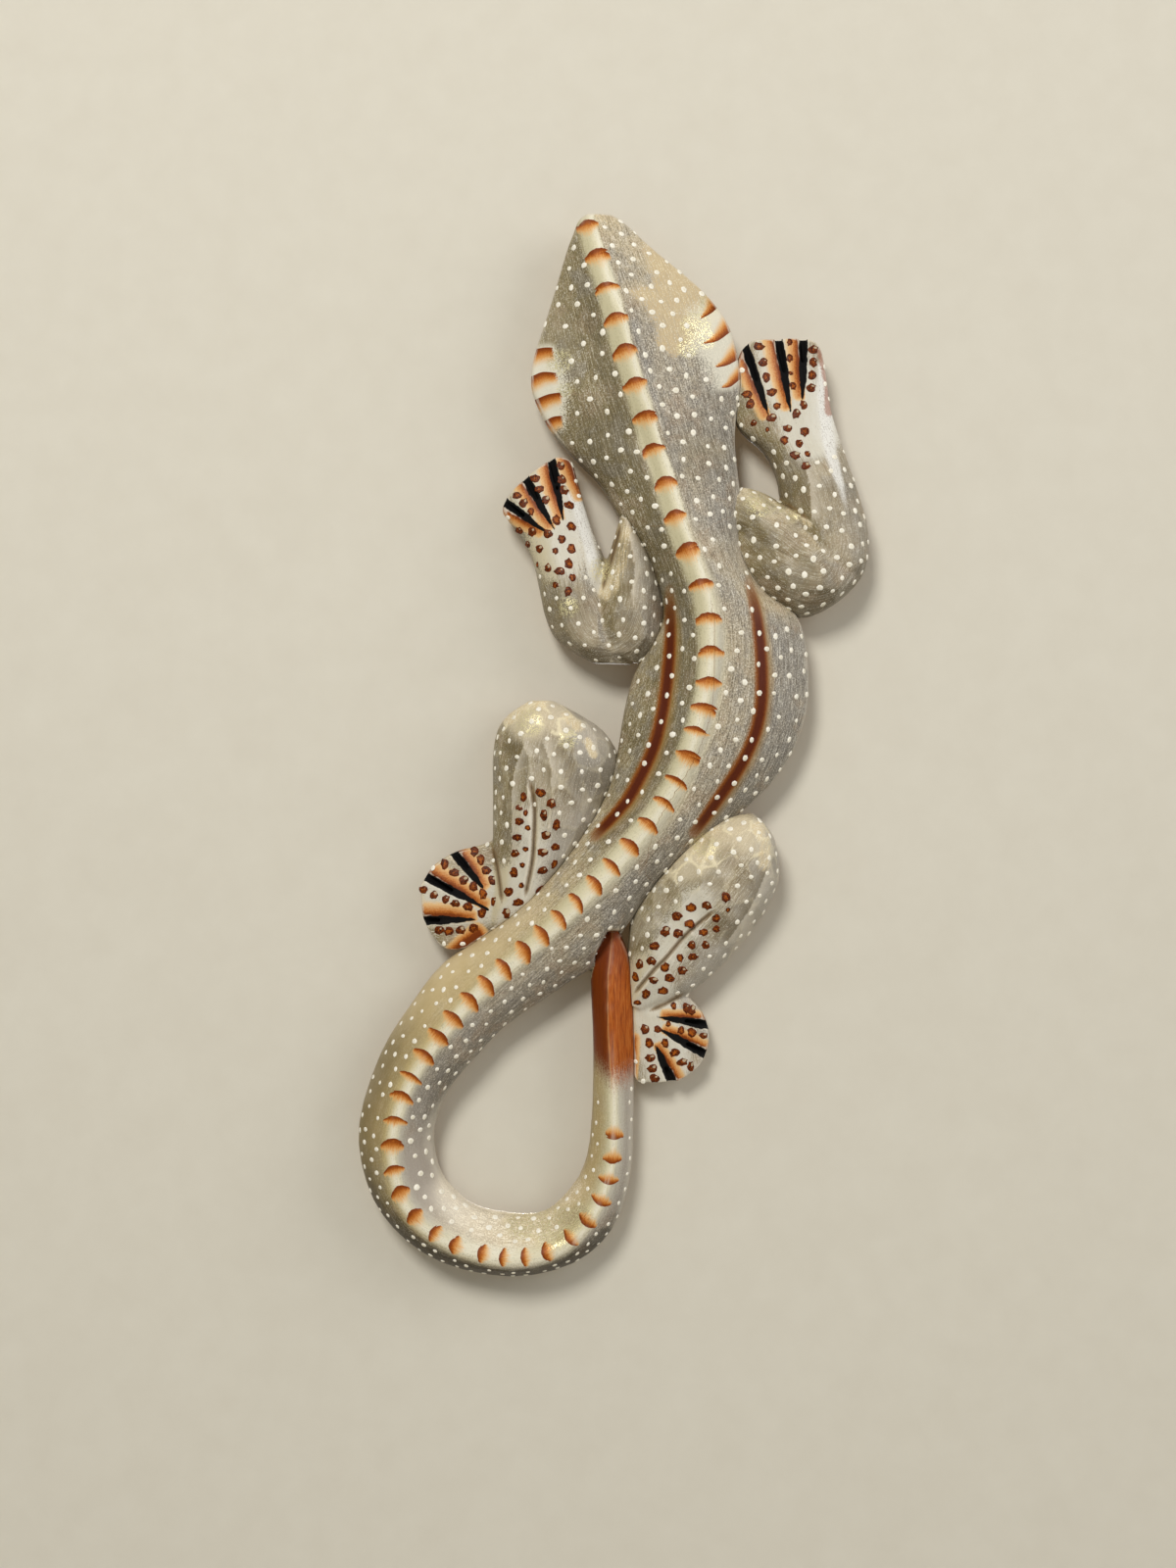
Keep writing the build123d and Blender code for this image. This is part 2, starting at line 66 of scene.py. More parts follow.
# ---------------- courses on the carving, mm
# Points are (x, z) as the gecko hangs, laid out on a plane near its rim as an eye before it sees
# them
EYE = (-20.7, -1032.2, -242.9)
LAYOUT_PLANE = -10.0
SPINE = [
    (-22, 24.5), (-19.5, 14.5), (-13.5, -3.5), (-7.5, -24.5), (-4.5, -36.5), (-1.5, -45.5),
    (2, -57), (5.5, -68.5), (9, -82.5), (13.5, -94), (17, -105.5), (19.5, -114), (23, -126),
    (29.5, -141.5), (33, -151), (36, -164.5), (37.5, -178.5), (36, -197.5), (31.5, -216),
    (24.5, -234.5), (15, -253), (0.5, -271), (-16, -289), (-33.5, -306), (-51, -322),
    (-66.5, -336), (-81.5, -351), (-95.5, -368), (-107, -388), (-112, -408.5),
    (-111.5, -424.5), (-106, -440), (-95.5, -451.5), (-79, -460.5), (-57.5, -465),
    (-39, -462), (-25.5, -452.5), (-15, -438.5), (-10.5, -424.5), (-8.5, -408.5),
    (-8.5, -390), (-9.5, -376.5), (-10.5, -353.5), (-10.5, -335), (-9.5, -323.5),
    (-8.5, -312),
]
# Along the spine, where cream turns to the brown of the tip
TIP_FADE = (684.5, 701.5)
# How far along the spine each brown crescent has its crown
CRESCENTS = [
    1.9, 16.2, 32.4, 47.2, 62.5, 79, 95.4, 111.1, 127.7, 144.2, 160.9, 179, 195.4, 211,
    225.8, 238.4, 250, 261.6, 275.6, 287.1, 299.4, 312.3, 325.7, 336.8, 349, 360, 370.9,
    381.6, 394.7, 406, 416.5, 428.2, 439.1, 450.3, 463.1, 472.2, 484.3, 494.5, 507.4, 517.1,
    530.1, 543.5, 553.6, 567.9, 578.2, 588.4, 597.9, 611.4, 622.3, 634, 644.6, 654.3, 665.6,
]
TAIL_TIP = [
    (-19.5, -372), (-19.5, -338), (-17, -322.5), (-11.5, -312), (-6.5, -312), (-1.5, -322),
    (0.5, -338), (1.5, -372),
]
TIP_FOOT = -369.5           # below this the tail stands clear of its root
TURN = 560.0                # along the spine, where the tail has turned back towards its root
SLIT_HOLD = 1.3             # how far the slit round the tip is held open under the skin
SLIT_REACH = 9.0            # how far from the slit the wood gives way to it
STRIPES = [
    [(17.5, -151), (18, -174), (15.5, -201.5), (10.5, -224.5), (1, -245), (-5.5, -254.5),
     (-17.5, -267.5)],
    [(54.5, -146.5), (59, -167), (61, -192.5), (59.5, -213), (52.5, -231.5), (41.5, -248.5),
     (29, -266)],
]
# Bars on the cheeks, each from the edge inwards along its sharp side
LEFT_BARS = [
    [(-44.5, -38.5), (-41, -38), (-37.5, -38)],
    [(-47, -51.5), (-42, -49.5), (-35.5, -50)],
    [(-45.5, -62.5), (-39.5, -60), (-33.5, -59)],
    [(-41, -72.5), (-37, -70.5), (-33, -70)],
]
RIGHT_BARS = [
    [(40.5, -19), (37, -22), (32.5, -24.5)],
    [(46.5, -30.5), (40, -35), (33, -36.5)],
    [(49.5, -44), (44.5, -46.5), (39.5, -47.5)],
    [(50, -53.5), (46, -56.5), (42, -57)],
]
BEIGE_CHEEK = [
    (4, 18), (9, 3), (9, -8.5), (-1, -11.5), (6, -19), (10.5, -26.5), (13, -37), (20, -42),
    (31, -34), (40, -26), (50, -20), (36, 2), (22, 16), (8, 24),
]

# Each leg: the size of its white dots, the line of the limb from the shoulder or hip to the
# digits, grooves between the digits (apex, mouth, reach of the orange beside them), creases cut
# with a knife (line, depth, width), and what is painted.  Strokes of orange (line, reach) are
# strongest on the line and fade to its left, or to its right where the reach is negative.  Painted
# golden highlights and blush are (line, reach), pale skin is (line, reach, soft edge), painted
# sheen is (line, first reach, last reach), folds of painted light and shade are (line, reach), and
# spots of painted shade are (x, z, reach, strength).
LEGS = {
    "fore_leg_left": {
        "dots": 0.85,
        "course": [(2, -118), (0, -135), (-2, -155), (-8, -172), (-20, -172), (-27, -158),
                   (-30, -142), (-36, -124), (-42, -108), (-46, -92)],
        "grooves": [((-32.7, -117), (-38.5, -87), 7.5), ((-37.5, -121.5), (-52.5, -95), 7),
                    ((-42, -123.5), (-62.5, -108.5), 7)],
        "creases": [([(-5, -120), (-9, -135), (-12.5, -146), (-14, -153)], 1.6, 1.3)],
        "gilt": [([(-4.5, -124), (-6, -136), (-8, -146), (-12, -153)], 6)],
        "dusk": [(5, -146, 9, 0.4), (-2, -166, 12, 0.3), (-30, -163, 17, 0.42)],
        "folds": [([(-1, -156), (1, -142), (-2, -124)], 6)],
        "strokes": [([(-23, -108), (-25.5, -97), (-29.5, -87)], 8)],
        "sheen": [([(-27, -108), (-24, -118), (-20, -132), (-16.5, -146)], 6, 4.5)],
        "pale": [([(-45, -100), (-38, -118), (-34, -132)], 22, 16),
                 ([(-24, -115), (-18, -140), (-14, -150)], 7, 6)],
    },
    "fore_leg_right": {
        "dots": 0.97,
        "course": [(52, -124), (64, -132), (77, -140), (89, -143), (95, -132), (92, -118),
                   (86, -100), (78, -82), (73, -62), (70, -36)],
        "grooves": [((63.9, -69.5), (52, -34), 8), ((74, -65.8), (68.5, -32), 7.5),
                    ((80, -61), (80.5, -32), 8)],
        "creases": [([(60, -103.5), (70, -110), (77, -114.5), (84, -119)], 1.6, 1.2)],
        "gilt": [([(54, -101), (62, -106.5), (70, -112), (77, -117), (83, -121)], 2.6),
                 ([(54, -104), (60, -112)], 4)],
        "dusk": [(56, -84, 8, 0.5), (65, -95, 9, 0.5), (73, -106, 10, 0.55), (62, -130, 10, 0.4),
                 (56, -118, 8, 0.4), (78, -146, 12, 0.3)],
        "folds": [([(84, -119), (83.5, -105), (81, -92)], 7)],
        "blush": [([(92.5, -68), (92, -55), (89, -40)], 3.5)],
        "sheen": [([(90, -48), (90.5, -62), (91.2, -76), (94, -90), (98, -103), (101.5, -117)],
                   7.5, 3)],
        "pale": [([(70, -38), (75, -58), (85, -78)], 17.5, 9)],
    },
    "hind_leg_left": {
        "dots": 0.9,
        "course": [(-30, -206), (-34, -225), (-38, -245), (-42, -265), (-50, -284), (-62, -294),
                   (-74, -296), (-100, -298)],
        "grooves": [((-70, -291.5), (-86, -272.5), -8), ((-69.5, -301), (-100.5, -284.5), -8.5),
                    ((-74.5, -306.5), (-100.5, -307), -8.5)],
        "sheen": [([(-50, -214), (-40, -210), (-29, -216)], 16, 13)],
        "gilt": [([(-31, -211), (-25, -216)], 4), ([(-21, -223), (-18, -229)], 3),
                 ([(-58, -212), (-50, -205), (-42, -204)], 5)],
        "dusk": [(-57, -226, 5, 0.8), (-51.5, -232, 5, 0.9), (-21, -241, 17, 0.85),
                 (-34, -229, 6, 0.5)],
        "folds": [([(-38, -246), (-38.5, -234), (-42, -222)], 6),
                  ([(-57, -288), (-56.5, -262), (-56, -240), (-50, -222)], 5)],
        "creases": [([(-48, -240.5), (-46, -252), (-46, -266), (-47, -279.5), (-50.5, -297)],
                     1.5, 1.1),
                    ([(-66, -271), (-63, -284), (-61, -300)], 1.0, 2.2)],
        "strokes": [([(-85.5, -323), (-77, -318), (-71, -314)], 6)],
        "pale": [([(-47, -262), (-48, -276), (-54, -292)], 17, 17),
                 ([(-54, -292), (-70, -297), (-95, -298)], 19, 12)],
    },
    "hind_leg_right": {
        "dots": 0.9,
        "course": [(60, -264), (50, -278), (38, -294), (24, -312), (13, -330), (10, -346),
                   (12, -362), (15, -385)],
        "grooves": [((14.3, -352.5), (38, -356.5), 5.5), ((14.7, -359), (37.5, -371.5), 6),
                    ((11, -366), (20.5, -386), 6)],
        "sheen": [([(28, -282), (38, -268), (50, -264), (60, -277)], 16, 16)],
        "gilt": [([(59, -263), (62.5, -271), (62, -281)], 4.5),
                 ([(29, -274), (35, -268), (40, -264)], 3), ([(32, -278), (36, -276)], 4)],
        "dusk": [(30, -290, 9, 0.45), (18, -302, 8, 0.45), (54, -290, 8, 0.3)],
        "folds": [([(6, -322), (20, -304), (34, -288)], 5),
                  ([(44, -318), (56, -300), (64, -282)], 5)],
        "creases": [([(39.5, -301.5), (26, -313), (16, -324.5), (10, -330.5), (0, -342.5)],
                     1.2, 0.9),
                    ([(25, -341), (16, -346), (7, -350)], 1.0, 2.0)],
        "strokes": [([(-1.5, -386), (-1.5, -362)], -4)],
        "pale": [([(31, -298), (22, -314), (8, -334)], 16, 15),
                 ([(8, -334), (10, -352), (16, -375)], 17, 10)],
    },
}

# Raised brown dots: (x, z) or (x, z, size against a full one)
BROWN_DOTS = {
    "fore_leg_right": [
        (59.5, -37.5), (61.5, -45), (63, -52), (65.5, -59), (68, -65.5, 0.8), (73, -76, 0.9),
        (71.5, -81.5, 0.9), (76.5, -88.5), (74, -35.5, 0.7), (74, -43, 0.8), (74.5, -50, 0.5),
        (75.5, -56, 0.8), (80.5, -65, 0.9), (77, -69), (81, -77.5), (78.5, -83, 0.9),
        (82.5, -88, 0.8), (81.5, -93.5, 0.9), (85, -39), (85, -45), (84.5, -51), (84, -57),
        (54, -60), (55.5, -64.5), (57, -73.5, 0.7), (65.5, -71), (63.5, -76.5, 0.5),
    ],
    "fore_leg_left": [
        (-45.5, -99.5), (-43.5, -104.5, 0.9), (-40.5, -109.5, 0.9), (-35.5, -119), (-28.5, -122),
        (-33.5, -93.5, 0.9), (-33, -100), (-32, -105), (-29.5, -112), (-54, -107.5, 0.9),
        (-51, -111), (-47.5, -115, 0.8), (-39.5, -125.5), (-33, -128, 0.9), (-28.5, -132.5),
        (-29.5, -139.5, 1.1), (-28, -146, 0.8), (-56.5, -122), (-53, -124, 0.9), (-47, -124.5),
        (-43.5, -132.5, 0.9), (-36, -133.5, 0.7), (-39.5, -141.5, 0.9), (-34, -143),
        (-30, -152.5, 0.9), (-49, -130.5, 0.8), (-44.5, -140, 0.6), (-36, -149.5, 0.7),
    ],
    "hind_leg_left": [
        (-74, -274.5), (-71, -278.5), (-68.5, -283.5), (-65.5, -288), (-88, -280.5),
        (-83.5, -284.5), (-79, -288), (-74.5, -291), (-70, -294.5), (-98, -292.5, 0.9),
        (-93, -295, 0.9), (-87.5, -297, 0.9), (-83, -299, 0.9), (-77, -300.5), (-70.5, -303.5),
        (-65, -298), (-90.5, -311.5), (-86, -312), (-80.5, -311.5), (-74.5, -310.5),
        (-51, -249, 0.9), (-53, -254, 0.7), (-50, -256.5, 0.6), (-53, -260.5, 0.9),
        (-49, -263.5, 0.6), (-54, -268, 0.9), (-50, -273.5, 0.6), (-55, -275.5, 0.9),
        (-51.5, -281, 0.6), (-55.5, -284.5), (-52, -290.5, 0.6), (-58, -293.5), (-53.5, -298.5),
        (-59, -303.5), (-43, -247), (-38, -252), (-41.5, -257.5), (-35.5, -262), (-40.5, -267),
        (-36, -272.5, 0.9), (-42, -275), (-36.5, -280.5, 0.9), (-42, -283.5), (-38.5, -288.5),
        (-43.5, -292.5),
    ],
    "hind_leg_right": [
        (27.5, -301, 1.1), (35, -300), (44, -296), (21, -305, 1.1), (27, -308.5),
        (15.5, -312, 1.1), (21.5, -313), (39.5, -306, 0.9), (33.5, -312.5, 0.9),
        (39.5, -311, 0.8), (10.5, -319), (28, -318.5, 0.9), (34.5, -318.5, 0.9),
        (22.5, -324.5, 0.8), (28.5, -324, 0.9), (3.5, -327.5), (9, -326), (15.5, -329),
        (23.5, -330.5), (1.5, -333.5), (10, -335, 0.9), (17.5, -334), (6.5, -341.5),
        (14.5, -340), (2.5, -345.5, 0.7), (45, -302, 0.5), (19.5, -347, 0.7), (25.5, -348),
        (28, -349), (17, -355.5, 0.6), (23, -358.5, 0.8), (28, -359.5), (33.5, -361, 0.8),
        (15.5, -364.5, 0.9), (20, -369), (23.5, -373.5), (27.5, -375.5, 0.9), (8, -364.5),
        (8.5, -371.5), (9.5, -376.5), (10.5, -381), (6, -358), (12, -358, 0.8),
    ],
}

# White dots at places along the spine: their size against a full one, how much larger they are on
# the inner side of the bend at the foot of the loop, how far apart, and how far off the spine
DOT_SIZES = [0, 120, 250, 400, 690], [1.0, 0.96, 0.92, 0.8, 0.72]
BEND_DOTS = [460, 500, 580, 620], [0, 0.3, 0.3, 0]
DOT_SPACINGS = [0, 120, 300, 380, 450, 560, 690], [7.3, 7.7, 7.7, 6.9, 6.2, 5.8, 5.5]
BAND_KEPT_CLEAR = [0, 30, 150, 210, 330, 400], [6.5, 7.3, 7.3, 8.0, 8.0, 7.2]
DOTS_FACE, LEG_DOTS_FACE = 0.35, 0.3        # least share of the normal that faces the front
ROUND_BROWN = 5.5                           # no white dot nearer to a brown one

# Spots of painted shade on the ground: x, z, reach, strength
PAINTED_SHADE_SPOTS = [(-14, -84, 26, 0.8), (32, -88, 22, 0.55), (46, -66, 14, 0.3), (24, -150, 14, 0.4),
        (24, -190, 20, 0.7), (14, -222, 18, 0.7), (2, -244, 16, 0.5), (-24, -300, 18, 0.2),
        (-30, -32, 16, 0.4)]

# Where gold powder was dusted on the wet paint: x, z, reach.  The spots along the right elbow's
# ridge and on the thigh tops also stand for painted glints.
GOLD = [
    (30, -28, 9), (26, -38, 6), (35, -34, 6), (36, -18, 6), (-34, -45, 8), (-32, -58, 5),
    (60, -110, 9), (-14, -142, 7), (-30, -160, 6), (-36, -450, 14), (-52, -449, 10),
    (-24, -446, 8), (58, -104, 4), (64, -108, 4), (70, -112, 4), (76, -117, 4), (34, -272, 8),
    (-48, -214, 8), (-30, -222, 6),
]


# ---------------- measuring
def rise(value, low, high):
    """0 below low, 1 above high and a smooth step between them."""
    t = np.clip((value - low) / (high - low), 0, 1)
    return t * t * (3 - 2 * t)


def seen(points):
    """Where the eye sees points of the relief on the plane of the layout."""
    middle = np.array([EYE[0], EYE[2]])
    nearness = (LAYOUT_PLANE - EYE[1]) / (points[:, 1] - EYE[1])
    return middle + (points[:, [0, 2]] - middle) * nearness[:, None]


MEASURED_AT_ONCE = 8000     # places, to spare memory


class Course:
    """A smooth line over the carving, in mm."""

    def __init__(self, points, step=1.0):
        rows = [np.array(p, float) for p in points]
        rows = [2 * rows[0] - rows[1], *rows, 2 * rows[-1] - rows[-2]]
        line = []
        for o, q, r, s in zip(rows, rows[1:], rows[2:], rows[3:]):
            count = max(2, int(np.linalg.norm(r - q) / step))
            for t in np.arange(count) / count:
                line.append(q + t * ((r - o) + t * ((2 * o - 5 * q + 4 * r - s)
                                                    + t * (3 * q - o - 3 * r + s))) / 2)
        line.append(rows[-2])
        self.line = np.array(line)
        gaps = np.linalg.norm(np.diff(self.line, axis=0), axis=1)
        self.run = np.concatenate([[0], np.cumsum(gaps)])
        self.length = self.run[-1]
        heading = np.gradient(self.line, axis=0)
        self.heading = heading / np.linalg.norm(heading, axis=1)[:, None]

    def measure(self, places, first=0.0, last=None):
        """How far along the line, and how far to the left of its heading, each place lies."""
        open_to = np.flatnonzero((self.run >= first) & (self.run <= (last or self.length) + 1e-6))
        line = self.line[open_to]
        closest = open_to[np.concatenate([
            ((part[:, None, :] - line) ** 2).sum(axis=2).argmin(axis=1)
            for part in np.array_split(places, len(places) // MEASURED_AT_ONCE + 1)])]
        away = places - self.line[closest]
        heading = self.heading[closest]
        along = self.run[closest] + (away * heading).sum(axis=1)
        left = away[:, 1] * heading[:, 0] - away[:, 0] * heading[:, 1]
        return along, left

    def eased(self, reach):
        """The same line with its wiggles evened out over a reach."""
        kept = self.line[::int(reach / 4)]
        for _ in range(6):
            kept[1:-1] = (kept[:-2] + 2 * kept[1:-1] + kept[2:]) / 4
        return Course(kept)

    def near(self, places):
        """How far each place is from the line, and how far along it."""
        along, left = self.measure(places)
        beyond = np.maximum(0, np.maximum(-along, along - self.length))
        return np.hypot(left, beyond), along


def outline_distance(places, outline):
    """How far each place is outside a closed outline; negative inside."""
    corners = np.array(outline, float)
    nearest = np.full(len(places), 1e9)
    inside = np.zeros(len(places), bool)
    for a, b in zip(corners, np.roll(corners, -1, axis=0)):
        side = b - a
        t = np.clip(((places - a) @ side) / (side @ side), 0, 1)
        nearest = np.minimum(nearest, np.linalg.norm(places - (a + t[:, None] * side), axis=1))
        crosses = (a[1] > places[:, 1]) != (b[1] > places[:, 1])
        level = np.where(b[1] == a[1], 1e-9, b[1] - a[1])
        inside ^= crosses & (places[:, 0] < (places[:, 1] - a[1]) / level * side[0] + a[0])
    return np.where(inside, -nearest, nearest)


# ---------------- meshes
def read(rows, name, width, kind=float):
    """One of the things that Blender keeps for each vertex or edge."""
    flat = np.empty(len(rows) * width, kind)
    rows.foreach_get(name, flat)
    return flat.reshape(-1, width)


def places_of(mesh):
    return read(mesh.vertices, "co", 3) / MM


def normals_of(mesh):
    return read(mesh.vertices, "normal", 3)


def links_of(mesh):
    return read(mesh.edges, "vertices", 2, int)


def place(mesh, points):
    mesh.vertices.foreach_set("co", (points * MM).ravel())
    mesh.update()


def relaxed(values, links, rounds, strength=0.5):
    """Values of the vertices, evened out over their neighbours."""
    count = len(values)
    share = np.bincount(links.ravel(), minlength=count).clip(1)
    values = values.copy()
    columns = values.reshape(count, -1)
    for _ in range(rounds):
        for column in range(columns.shape[1]):
            v = columns[:, column]
            total = (np.bincount(links[:, 0], v[links[:, 1]], count)
                     + np.bincount(links[:, 1], v[links[:, 0]], count))
            columns[:, column] = v + strength * (total / share - v)
    return columns.reshape(values.shape)


def note(mesh, **columns):
    """Keeps values for each vertex, for the paint to read."""
    for name, values in columns.items():
        kept = mesh.attributes.new(name, "FLOAT", "POINT")
        kept.data.foreach_set("value", np.asarray(values, float))


def note_form(mesh, points, links):
    """Keeps how the skin leans to the side and up, and how far it stands out from the skin
    around it: widely (edge) and close by (ridge)."""
    normals = normals_of(mesh)
    smooth = relaxed(normals, links, 4)
    edge, ridge = [((points - relaxed(points, links, rounds)) * normals).sum(axis=1)
                   for rounds in (12, 3)]
    note(mesh, lean=smooth[:, 0], tilt=smooth[:, 2], edge=relaxed(edge, links, 1),
         ridge=relaxed(ridge, links, 1))


def link(obj):
    bpy.context.scene.collection.objects.link(obj)
    return obj


def merged_copy(node):
    """The mesh of a CAD node with its loose triangles joined."""
    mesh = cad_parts[node].data.copy()
    mesh.materials.clear()
    bm = bmesh.new()
    bm.from_mesh(mesh)
    bmesh.ops.remove_doubles(bm, verts=bm.verts, dist=2e-6)
    bm.to_mesh(mesh)
    bm.free()
    return mesh


def skin(name, mesh, voxel):
    """A fine even skin round a closed mesh."""
    piece = link(bpy.data.objects.new(name, mesh))
    remesh = piece.modifiers.new("skin", "REMESH")
    remesh.mode = "VOXEL"
    remesh.voxel_size = voxel * MM
    depsgraph = bpy.context.evaluated_depsgraph_get()
    fine = bpy.data.meshes.new_from_object(piece.evaluated_get(depsgraph))
    piece.modifiers.clear()
    piece.data = fine
    for key in [a.name for a in fine.attributes if not a.is_required]:
        if key not in ("sharp_face", "material_index"):
            fine.attributes.remove(fine.attributes[key])
    fine.name = name
    fine.shade_smooth()
    return piece


def own(piece, material, node=None, body="gecko"):
    piece.data.materials.append(material)
    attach(piece, body)
    if node:
        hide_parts(node)


def press(points, amount):
    """Moves points of the front towards the back, and never through it."""
    room = np.clip(-points[:, 1] - WOOD_LEFT, 0, None)
    points[:, 1] += np.minimum(amount, room)


def waviness(points, scale, seed):
    """A slow seeded noise at each point, about -1 to 1."""
    shift = Vector((seed * 7.3, seed * 3.1, seed * 5.7))
    return np.array([noise.noise(Vector(p) / scale + shift) for p in points])


def scoops(points, size, depth, seed):
    """Flats left by a gouge: how deep each goes, how far away the ridge between two of them is,
    and a random number for each flat."""
    shift = Vector((seed * 4.7, seed * 2.9, seed * 6.1))
    bent = points + 4 * np.column_stack([waviness(points, 14, seed + k) for k in (1, 2, 3)])
    cells = [noise.voronoi(Vector(p) / size + shift) for p in bent * (1, 1, 0.75)]
    gaps = np.array([distances[:2] for distances, _ in cells])
    middles = np.array([nearest[0] for _, nearest in cells])
    hollow = depth * (1 - (gaps[:, 0] / 0.75) ** 2).clip(0, 1)
    ridge_gap = (gaps[:, 1] - gaps[:, 0]) * size / 2
    return hollow, ridge_gap, np.sin(middles @ (12.9, 78.2, 37.7) * 43.7) * 0.5 + 0.5


def knife_marks(points, along, left, seed, depth):
    """Shallow planes left by the knife, longer than wide."""
    strips = np.column_stack([along / 26, left / 6.5, points[:, 1] / 9])
    return depth * waviness(strips, 1.0, seed)


def unrolled(points, along, left):
    """How far to the side each place lies, measured down over the shoulder of the shape."""
    steps = np.arange(along.min(), along.max() + 8, 8)
    slot = np.digitize(along, steps)
    crest = np.zeros(len(steps) + 1)
    np.minimum.at(crest, slot, points[:, 1])
    down = np.maximum(0, points[:, 1] - np.interp(along, steps + 4, crest[1:]))
    return np.copysign(np.abs(left) + 0.7 * down, left)


# ---------------- the carved body
def carve_body():
    """The skin of the body, with its stripes pressed in and all that its paint reads.  The slit
    round the tip is narrower than the skin can follow, so it is held open while the skin is made
    and closed again after."""
    mesh = merged_copy("body_board")
    rough = places_of(mesh)
    wall = outline_distance(rough[:, [0, 2]], TAIL_TIP)
    beside = (wall > 0.25) & (wall < 1.0) & (rough[:, 2] > TIP_FOOT + 4)
    rough[beside] += SLIT_HOLD * away_from_tip(rough[beside])
    place(mesh, rough)

    piece = skin("body_carving", mesh, BODY_GRAIN)
    mesh = piece.data
    links = links_of(mesh)
    points = relaxed(places_of(mesh), links, 3)
    flat = points[:, [0, 2]]

    wall = outline_distance(flat, TAIL_TIP)
    beside = (wall > 0.6) & (wall < SLIT_REACH) & (points[:, 2] > TIP_FOOT + 2)
    near = points[beside]
    pull = 1 - (wall[beside] - SLIT_HOLD) / (SLIT_REACH - SLIT_HOLD)
    points[beside] = near - SLIT_HOLD * pull.clip(0, 1)[:, None] * away_from_tip(near)

    spine = Course(SPINE)
    tip_wall = outline_distance(points[:, [0, 2]], TAIL_TIP)
    flat = seen(points)
    along, left = spine.measure(flat)
    upper = points[:, 2] > TIP_FOOT
    on_tip = upper & (tip_wall < 0.3)
    off_tip = upper & ~on_tip
    along[on_tip], left[on_tip] = spine.measure(flat[on_tip], first=TURN)
    along[off_tip], left[off_tip] = spine.measure(flat[off_tip], last=TURN)

    stripe = np.full(len(points), 30.0)
    gauge, ink = np.ones(len(points)), np.ones(len(points))
    for line in STRIPES:
        course = Course(line)
        run, aside = course.measure(flat)
        ends = np.minimum(run, course.length - run)
        aside = np.copysign(np.hypot(aside, np.minimum(ends, 0)), aside)
        nearer = np.abs(aside) < np.abs(stripe)
        stripe[nearer] = aside[nearer]
        gauge[nearer] = np.interp(run[nearer], [0, 12, 40, course.length - 25, course.length],
                                  [0.6, 0.9, 1.05, 1.05, 0.8])
        ink[nearer] = np.interp(run[nearer], [-4, 8, 26, course.length - 8, course.length + 3],
                                [0, 0.6, 1, 1, 0.3])
    front = rise(-points[:, 1], 8, 13)
    press(points, STRIPE_DEPTH * gauge * np.exp(-(stripe / STRIPE_WIDTH / gauge) ** 2) * front)
    press(points, knife_marks(points, along, left, 1, BODY_KNIFE) * front)
    place(mesh, points)

    stroke_run, stroke_aside = along.copy(), left.copy()
    stroke_run[off_tip], stroke_aside[off_tip] = spine.eased(40).measure(flat[off_tip], last=TURN)
    note_form(mesh, points, links)
    bar, inward = cheek_places(flat)
    # Painted shade in a strip along the left side of the band
    beside_band = rise(along, 8, 45) * (1 - rise(along, 300, 360))
    beside_band *= np.exp(-((left + 10.5) / 5.5) ** 2)
    note(mesh, stroke_run=stroke_run, stroke_aside=unrolled(points, stroke_run, stroke_aside),
         along=along, left=left, stripe=stripe, gauge=gauge, ink=ink, bar=bar, inward=inward,
         beat=np.interp(along, [-30, *CRESCENTS, 900],
                        [-2.3, *range(len(CRESCENTS)), len(CRESCENTS) + 20]),
         beige=-outline_distance(flat, BEIGE_CHEEK), gold=spots_on(flat, GOLD, 0.2, 1.3),
         dusk=np.maximum(spots_on(flat, PAINTED_SHADE_SPOTS, 0.1, 1.2), 0.75 * beside_band))
    return piece, points, along, left


def away_from_tip(points):
    """The direction, in the plane of the back, away from the outline of the tail's tip."""
    flat = points[:, [0, 2]]
    step = 0.05
    x = outline_distance(flat + (step, 0), TAIL_TIP) - outline_distance(flat - (step, 0), TAIL_TIP)
    z = outline_distance(flat + (0, step), TAIL_TIP) - outline_distance(flat - (0, step), TAIL_TIP)
    size = np.hypot(x, z).clip(1e-6)
    return np.column_stack([x / size, np.zeros(len(flat)), z / size])


BAR_STEP = 11.0             # what a count of one spans before the first bar and after the last
RIGHT_COUNT = 10            # what is added to the counts on the right cheek,
RIGHT_FROM = 6.5            # so that they all lie above this


def cheek_places(flat):
    """For the bars on the cheeks: a count that is whole on the sharp side of each bar and grows
    the way the bar fades, and how far in from its outer end a place is, 1 at its inner end."""
    beats, inwards = [], []
    for bars, away in ((LEFT_BARS, -1), (RIGHT_BARS[::-1], 1)):
        off, share = [], []
        for bar in bars:
            course = Course(bar)
            run, aside = course.measure(flat)
            heading = 1 if bar[-1][0] > bar[0][0] else -1
            off.append(away * heading * aside)
            share.append(run / course.length)
        beat = off[0] / BAR_STEP
        inward = share[0].copy()
        for k in range(len(bars) - 1):
            part = off[k] / np.where(np.abs(off[k] - off[k + 1]) < 1e-3, 1e-3, off[k] - off[k + 1])
            here = (off[k] >= 0) & (off[k + 1] < 0)
            beat = np.where(here, k + part, beat)
            inward = np.where(here, share[k] * (1 - part) + share[k + 1] * part, inward)
        past = off[-1] >= 0
        beat = np.where(past, len(bars) - 1 + off[-1] / BAR_STEP, beat)
        inward = np.where(past, share[-1], inward)
        beats.append(beat)
        inwards.append(inward)
    right = flat[:, 0] > -2
    beat = np.where(right, beats[1] + RIGHT_COUNT, beats[0])
    return beat, np.where(right, inwards[1], inwards[0])


